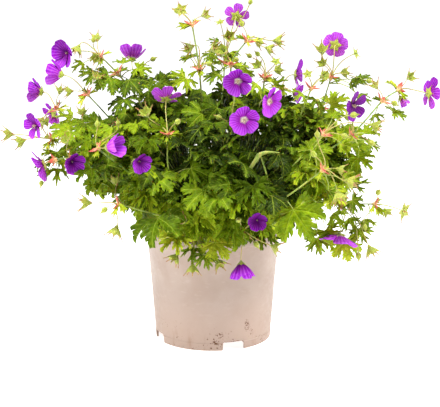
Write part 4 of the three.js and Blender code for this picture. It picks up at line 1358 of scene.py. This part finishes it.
def grow_stems():
    """The stems with their blooms, and then their leaves, once it is known where all the blooms are."""
    grown_branches = []
    for s, (node, (root, branches)) in enumerate(STEMS.items()):
        stem = Growth(node)
        foot = [Vector((*root, z)) for z in (SOIL["root_end"], 122, CROWN_TOP, CROWN_TOP + 4)]
        stem.stalk(foot, STEM["root"], STEM["root"] * 0.9, 0.6)
        for b, branch in enumerate(branches):
            index = s * 2 + b
            grown_branches.append((stem, grow_branch(stem, root, branch, index), branch[3], index + 1))
        if node == OLD_STALKS["stem"]:
            for limb, first_radius, last_radius in OLD_STALKS["limbs"]:
                stem.stalk(smooth_line([Vector(p) for p in limb], 6), first_radius, last_radius, 0.38)
        growths.append((stem, "stem_green"))
    for stem, grown, leaves, seed in grown_branches:
        points, ways, first, _ = grown
        for f in range(first, len(points)):
            crowd_fork(stem, points[f], ways[f], seed * 5 + f)
        if leaves:
            listed_leaves(stem, grown, leaves, seed)
        else:
            branch_leaves(stem, grown, seed)


def mound_point(azimuth, height, share):
    """The dome's surface at a height from -1, its skirt, to 1, its top. share draws it in."""
    way = facing(azimuth, 0)
    tuck = mix(TUCK["front"], TUCK["side"], abs(way.x))
    reach = share * (1 + tuck * height if height < 0 else math.sqrt(1 - height ** 3))
    wide = MOUND["left"] if way.x < 0 else MOUND["right"]
    deep = MOUND["front"] if way.y < 0 else MOUND["back"]
    tall = MOUND["down"] if height < 0 else MOUND["up"]
    return Vector((MOUND["x"] + way.x * wide * reach, way.y * deep * reach, MOUND["z"] + tall * height))


def grow_tuft(index):
    """Long-stalked leaves from one crown, in layers, each from its lowest leaf to its highest."""
    growth = Growth(f"leaf_tuft_{index + 1}")
    wedge = 360 / TUFTS["count"]
    azimuth = wedge * (index + 0.5)
    low = facing(azimuth, 0) * TUFTS["root_circle"]
    low.z = SOIL["root_end"]
    high = Vector((low.x, low.y, CROWN_TOP))
    root = [low, low.lerp(high, 0.5), high, high + Vector((0, 0, 7))]
    growth.stalk(root, STEM["root"] + 1.5, STEM["root"], 0.5, swell=(2,))
    layers = [layer for layer in LAYER_REACH for _ in range(TUFTS[layer])]
    for j, layer in enumerate(layers):
        number = 500 + index * 40 + j + (0 if layer == "outer" else 1000)
        share = (j * GOLDEN + index * 0.31) % 1 * (0.25 if layer == "skirt" else 1)
        swing = azimuth + (draw(number, 2) - 0.5) * wedge * (1 + share)
        deep = 1 - draw(number, 3)
        at = mound_point(swing, mix(-1, 0.97, share), mix(*LAYER_REACH[layer], 1 - deep))
        size = TUFTS["leaf"] * mix(0.82, 1.08, draw(number, 4)) * mix(1, 0.8, share)
        if layer == "skirt":
            size *= 0.75
        if spoils_bloom(at, size) or (layer != "inner" and hollow(at) > HOLLOW_BARE):
            continue
        out = facing(swing, 0)
        sway = [TUFTS["sway"] * (draw(number, k) - 0.5) for k in (5, 6)]
        normal = out * mix(0.9, 0.25, share) + Vector((*sway, 0.75))
        tip = out + Vector(((draw(number, 7) - 0.5) * 1.2, 0, -0.5))
        over = high.lerp(at, 0.35)
        over.z = max(mix(high.z, at.z, 0.7), POT["height"] + 24)
        start = facing(60 * j + 30, 0) * TUFTS["crown"] * 0.5 + high
        # Painted shade: the inner layer's leaves are darkest, and outer ones are darker the deeper they lie
        # in the mound.
        tint = 0 if layer == "inner" else leaf_tint(number, at) - 0.34 * (deep - 0.45)
        growth.leaf(LARGE_LEAVES[number % 4], size, start, over, at, normal, tip, tint)
    growths.append((growth, "leaf_green"))


grow_stems()
for t in range(TUFTS["count"]):
    grow_tuft(t)
for growth, slot in growths:
    growth.finish(slot)
for kinds in (LARGE_LEAVES, SMALL_LEAVES, LEAFLETS, *BLOOM_PATTERNS.values(), BLOOM_CALYCES.values(),
              (calyx_star, calyx_cup, bud_closed, bract_pair)):
    for pattern in kinds:
        bpy.data.objects.remove(pattern)


# ---- Pot and compost ----
def outer_radius(z):
    return mix(POT["foot"], POT["rim"] - POT["lip"], z / (POT["height"] - POT["band"]))


def inner_radius(z):
    return outer_radius(z) - POT["wall"]


def thrown(name, profile, sides):
    """A round closed solid: a circle drawn on, ring by ring, along a profile of (radius, height)."""
    first_radius, first_z = radius, z = profile[0]
    bpy.ops.mesh.primitive_circle_add(vertices=sides, radius=radius * MM, fill_type="NOTHING",
                                      location=(0, 0, 0))
    piece = bpy.context.object
    piece.name = name
    open_mesh(piece, selected=True)
    slide(0, 0, z * MM)
    for wide, high in profile[1:]:
        bpy.ops.mesh.extrude_region_move()
        scale(wide / radius, wide / radius, 1)
        slide(0, 0, (high - z) * MM)
        radius, z = wide, high
    bpy.ops.mesh.edge_face_add()
    pick(lambda at: abs(at.z - first_z * MM) < 1e-6 and abs(math.hypot(*at.xy) - first_radius * MM) < 1e-6)
    bpy.ops.mesh.edge_face_add()
    select_all_points()
    bpy.ops.mesh.normals_make_consistent(inside=False)
    close_mesh()
    return piece


def model_notch(k):
    """What is cut out of the pot's foot ring: a block with two rounded upper corners."""
    bpy.ops.mesh.primitive_cube_add(size=MM, location=(0, 0, 0))
    cutter = bpy.context.object
    open_mesh(cutter, selected=True)
    depth = NOTCH["depth"] + 9
    scale(depth, NOTCH["width"], NOTCH["height"] + 1)
    slide((POT["foot"] - NOTCH["depth"] + depth / 2) * MM, 0, (NOTCH["height"] - 1) / 2 * MM)
    pick(lambda at: at.z > 0 and at.y > 0)
    bpy.ops.mesh.bevel(offset=mix(3.5, 6, draw(k, 1)) * MM, segments=5)
    pick(lambda at: at.z > 6 * MM and at.y < -10 * MM)
    bpy.ops.mesh.bevel(offset=mix(3, 5, draw(k, 2)) * MM, segments=5)
    close_mesh()
    turn_piece(cutter, NOTCH["first"] + 360 / NOTCH["count"] * k - 90, "Z")
    return cutter


def model_pot():
    band_bottom = POT["height"] - POT["band"]
    floor_top = FLOOR["raised"] + FLOOR["thick"]
    hub_inside = FLOOR["hub"] - FLOOR["thick"]
    rim, top = POT["rim"], POT["height"]
    pot = thrown("nursery_pot", [
        (FLOOR["hub"], 0),
        (FLOOR["hub"] + FLOOR["hub_slope"], FLOOR["raised"]),
        (inner_radius(0), FLOOR["raised"]),
        (inner_radius(0), 0.3),
        (inner_radius(0) + 0.3, 0),
        (POT["foot"] - 0.2, 0),
        (POT["foot"] + 0.4, 0.5),
        (outer_radius(10) + 0.5, 10),
        (outer_radius(11), 11),
        (outer_radius(12), 12),
        (outer_radius(70), 70),
        (outer_radius(band_bottom - 1), band_bottom - 1),
        (outer_radius(band_bottom) + 0.3, band_bottom),
        (rim - 0.6, band_bottom + 0.4),
        (rim, band_bottom + 1),
        (rim + 0.2, top - 4),
        (rim, top - 1),
        (rim - 0.7, top - 0.2),
        (rim - 1.6, top),
        (inner_radius(top) + 1.6, top),
        (inner_radius(top) + 0.8, top - 0.5),
        (inner_radius(band_bottom), band_bottom - 2),
        (inner_radius(floor_top), floor_top),
        (hub_inside + FLOOR["hub_slope"], floor_top),
        (hub_inside, FLOOR["thick"]),
    ], POT["sides"])
    wear(pot, pot_skin)
    cutter = join([model_notch(k) for k in range(NOTCH["count"])], "notch_cutter")
    finish_with(pot, "BOOLEAN", object=cutter, operation="DIFFERENCE", solver="EXACT")
    bpy.data.objects.remove(cutter)
    smooth(pot, 25)
    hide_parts("pot")
    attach(pot, "root")


def model_crumb(k):
    """A loose crumb that lies on the compost."""
    radius = CRUMBS["spread"] * math.sqrt(draw(k, 1))
    angle = 2 * math.pi * draw(k, 2)
    lift = 0.6 + SOIL["crown"] * (1 - radius / CRUMBS["spread"])
    bpy.ops.mesh.primitive_ico_sphere_add(subdivisions=1, radius=mix(1.2, 3.2, draw(k, 3)) * MM,
                                          location=(0, 0, 0))
    crumb = bpy.context.object
    open_mesh(crumb, selected=True)
    scale(1, mix(0.6, 1, draw(k, 4)), mix(0.45, 0.8, draw(k, 5)))
    turn(360 * draw(k, 6), "Z")
    slide(radius * math.cos(angle) * MM, radius * math.sin(angle) * MM, (SOIL["top"] + lift) * MM)
    close_mesh()
    wear(crumb, compost_skin)
    return crumb


def model_compost():
    """The compost that fills the pot, its top heaped and uneven, with loose crumbs on it."""
    floor_top = FLOOR["raised"] + FLOOR["thick"] + 0.3
    hub_inside = FLOOR["hub"] - FLOOR["thick"] - SOIL["side"]
    bed = thrown("compost_bed", [
        (hub_inside, FLOOR["thick"] + 0.3),
        (hub_inside + FLOOR["hub_slope"], floor_top),
        *[(inner_radius(z) - SOIL["side"], z) for z in (floor_top, 60, SOIL["top"])],
        *[(radius, SOIL["top"] + rise) for radius, rise in HEAP],
    ], 64)
    wear(bed, compost_skin)
    for point in bed.data.vertices:
        if point.co.z > (SOIL["top"] + 0.3) * MM:
            x, y = point.co.x / MM, point.co.y / MM
            point.co.z += MM * (1.6 * math.sin(x * 0.31) * math.cos(y * 0.27 + 1)
                                + 1.3 * math.sin(x * 1.1 + y * 0.8) * math.sin(y * 1.3))
    bed = join([bed] + [model_crumb(k) for k in range(CRUMBS["count"])], "compost_bed")
    smooth(bed, 50)
    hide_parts("compost")
    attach(bed, "root")


model_pot()
model_compost()


# ---- Stage, light and camera, in metres ----
def model_stage():
    bpy.ops.mesh.primitive_plane_add(size=24, location=(0, 0, 0))
    floor = bpy.context.object
    floor.name = "studio_floor"
    white = Finish("studio_white", roughness=0.9, emission_color=(1, 1, 1, 1), emission_strength=0.78)
    white.colour(paint(235, 235, 235))
    wear(floor, white)


def aimed(thing, place, target):
    """Puts a lamp or a camera at its place, looking at the target."""
    thing.location = place
    thing.rotation_euler = (Vector(target) - thing.location).to_track_quat("-Z", "Y").to_euler()


def soft_light(name, place, power):
    lamp = bpy.data.lights.new(name, "AREA")
    lamp.shape = "DISK"
    lamp.size = 0.6
    lamp.energy = power
    aimed(place_new(name, lamp), place, (0, 0, 0.2))


def model_camera():
    rise, distance, target = math.radians(VIEW_RISE), 2.2, Vector((0.0096, 0, 0.187))
    camera = place_new("camera", bpy.data.cameras.new("camera"))
    aimed(camera, target + Vector((0, -distance * math.cos(rise), distance * math.sin(rise))), target)
    camera.data.sensor_width = 36
    camera.data.lens = 130.7
    bpy.context.scene.camera = camera


def light_world():
    """Even light from all round."""
    world = bpy.data.worlds.new("studio")
    world.use_nodes = True
    background = world.node_tree.nodes["Background"]
    background.inputs["Color"].default_value = (1, 1, 1, 1)
    background.inputs["Strength"].default_value = 0.34
    bpy.context.scene.world = world
    bpy.context.scene.view_settings.view_transform = "Standard"


model_stage()
soft_light("left_softbox", (-1.8, -0.5, 1.2), 28)
soft_light("right_softbox", (1.9, -0.2, 0.9), 32)
soft_light("top_softbox", (-0.1, -0.5, 2.2), 56)
model_camera()
light_world()
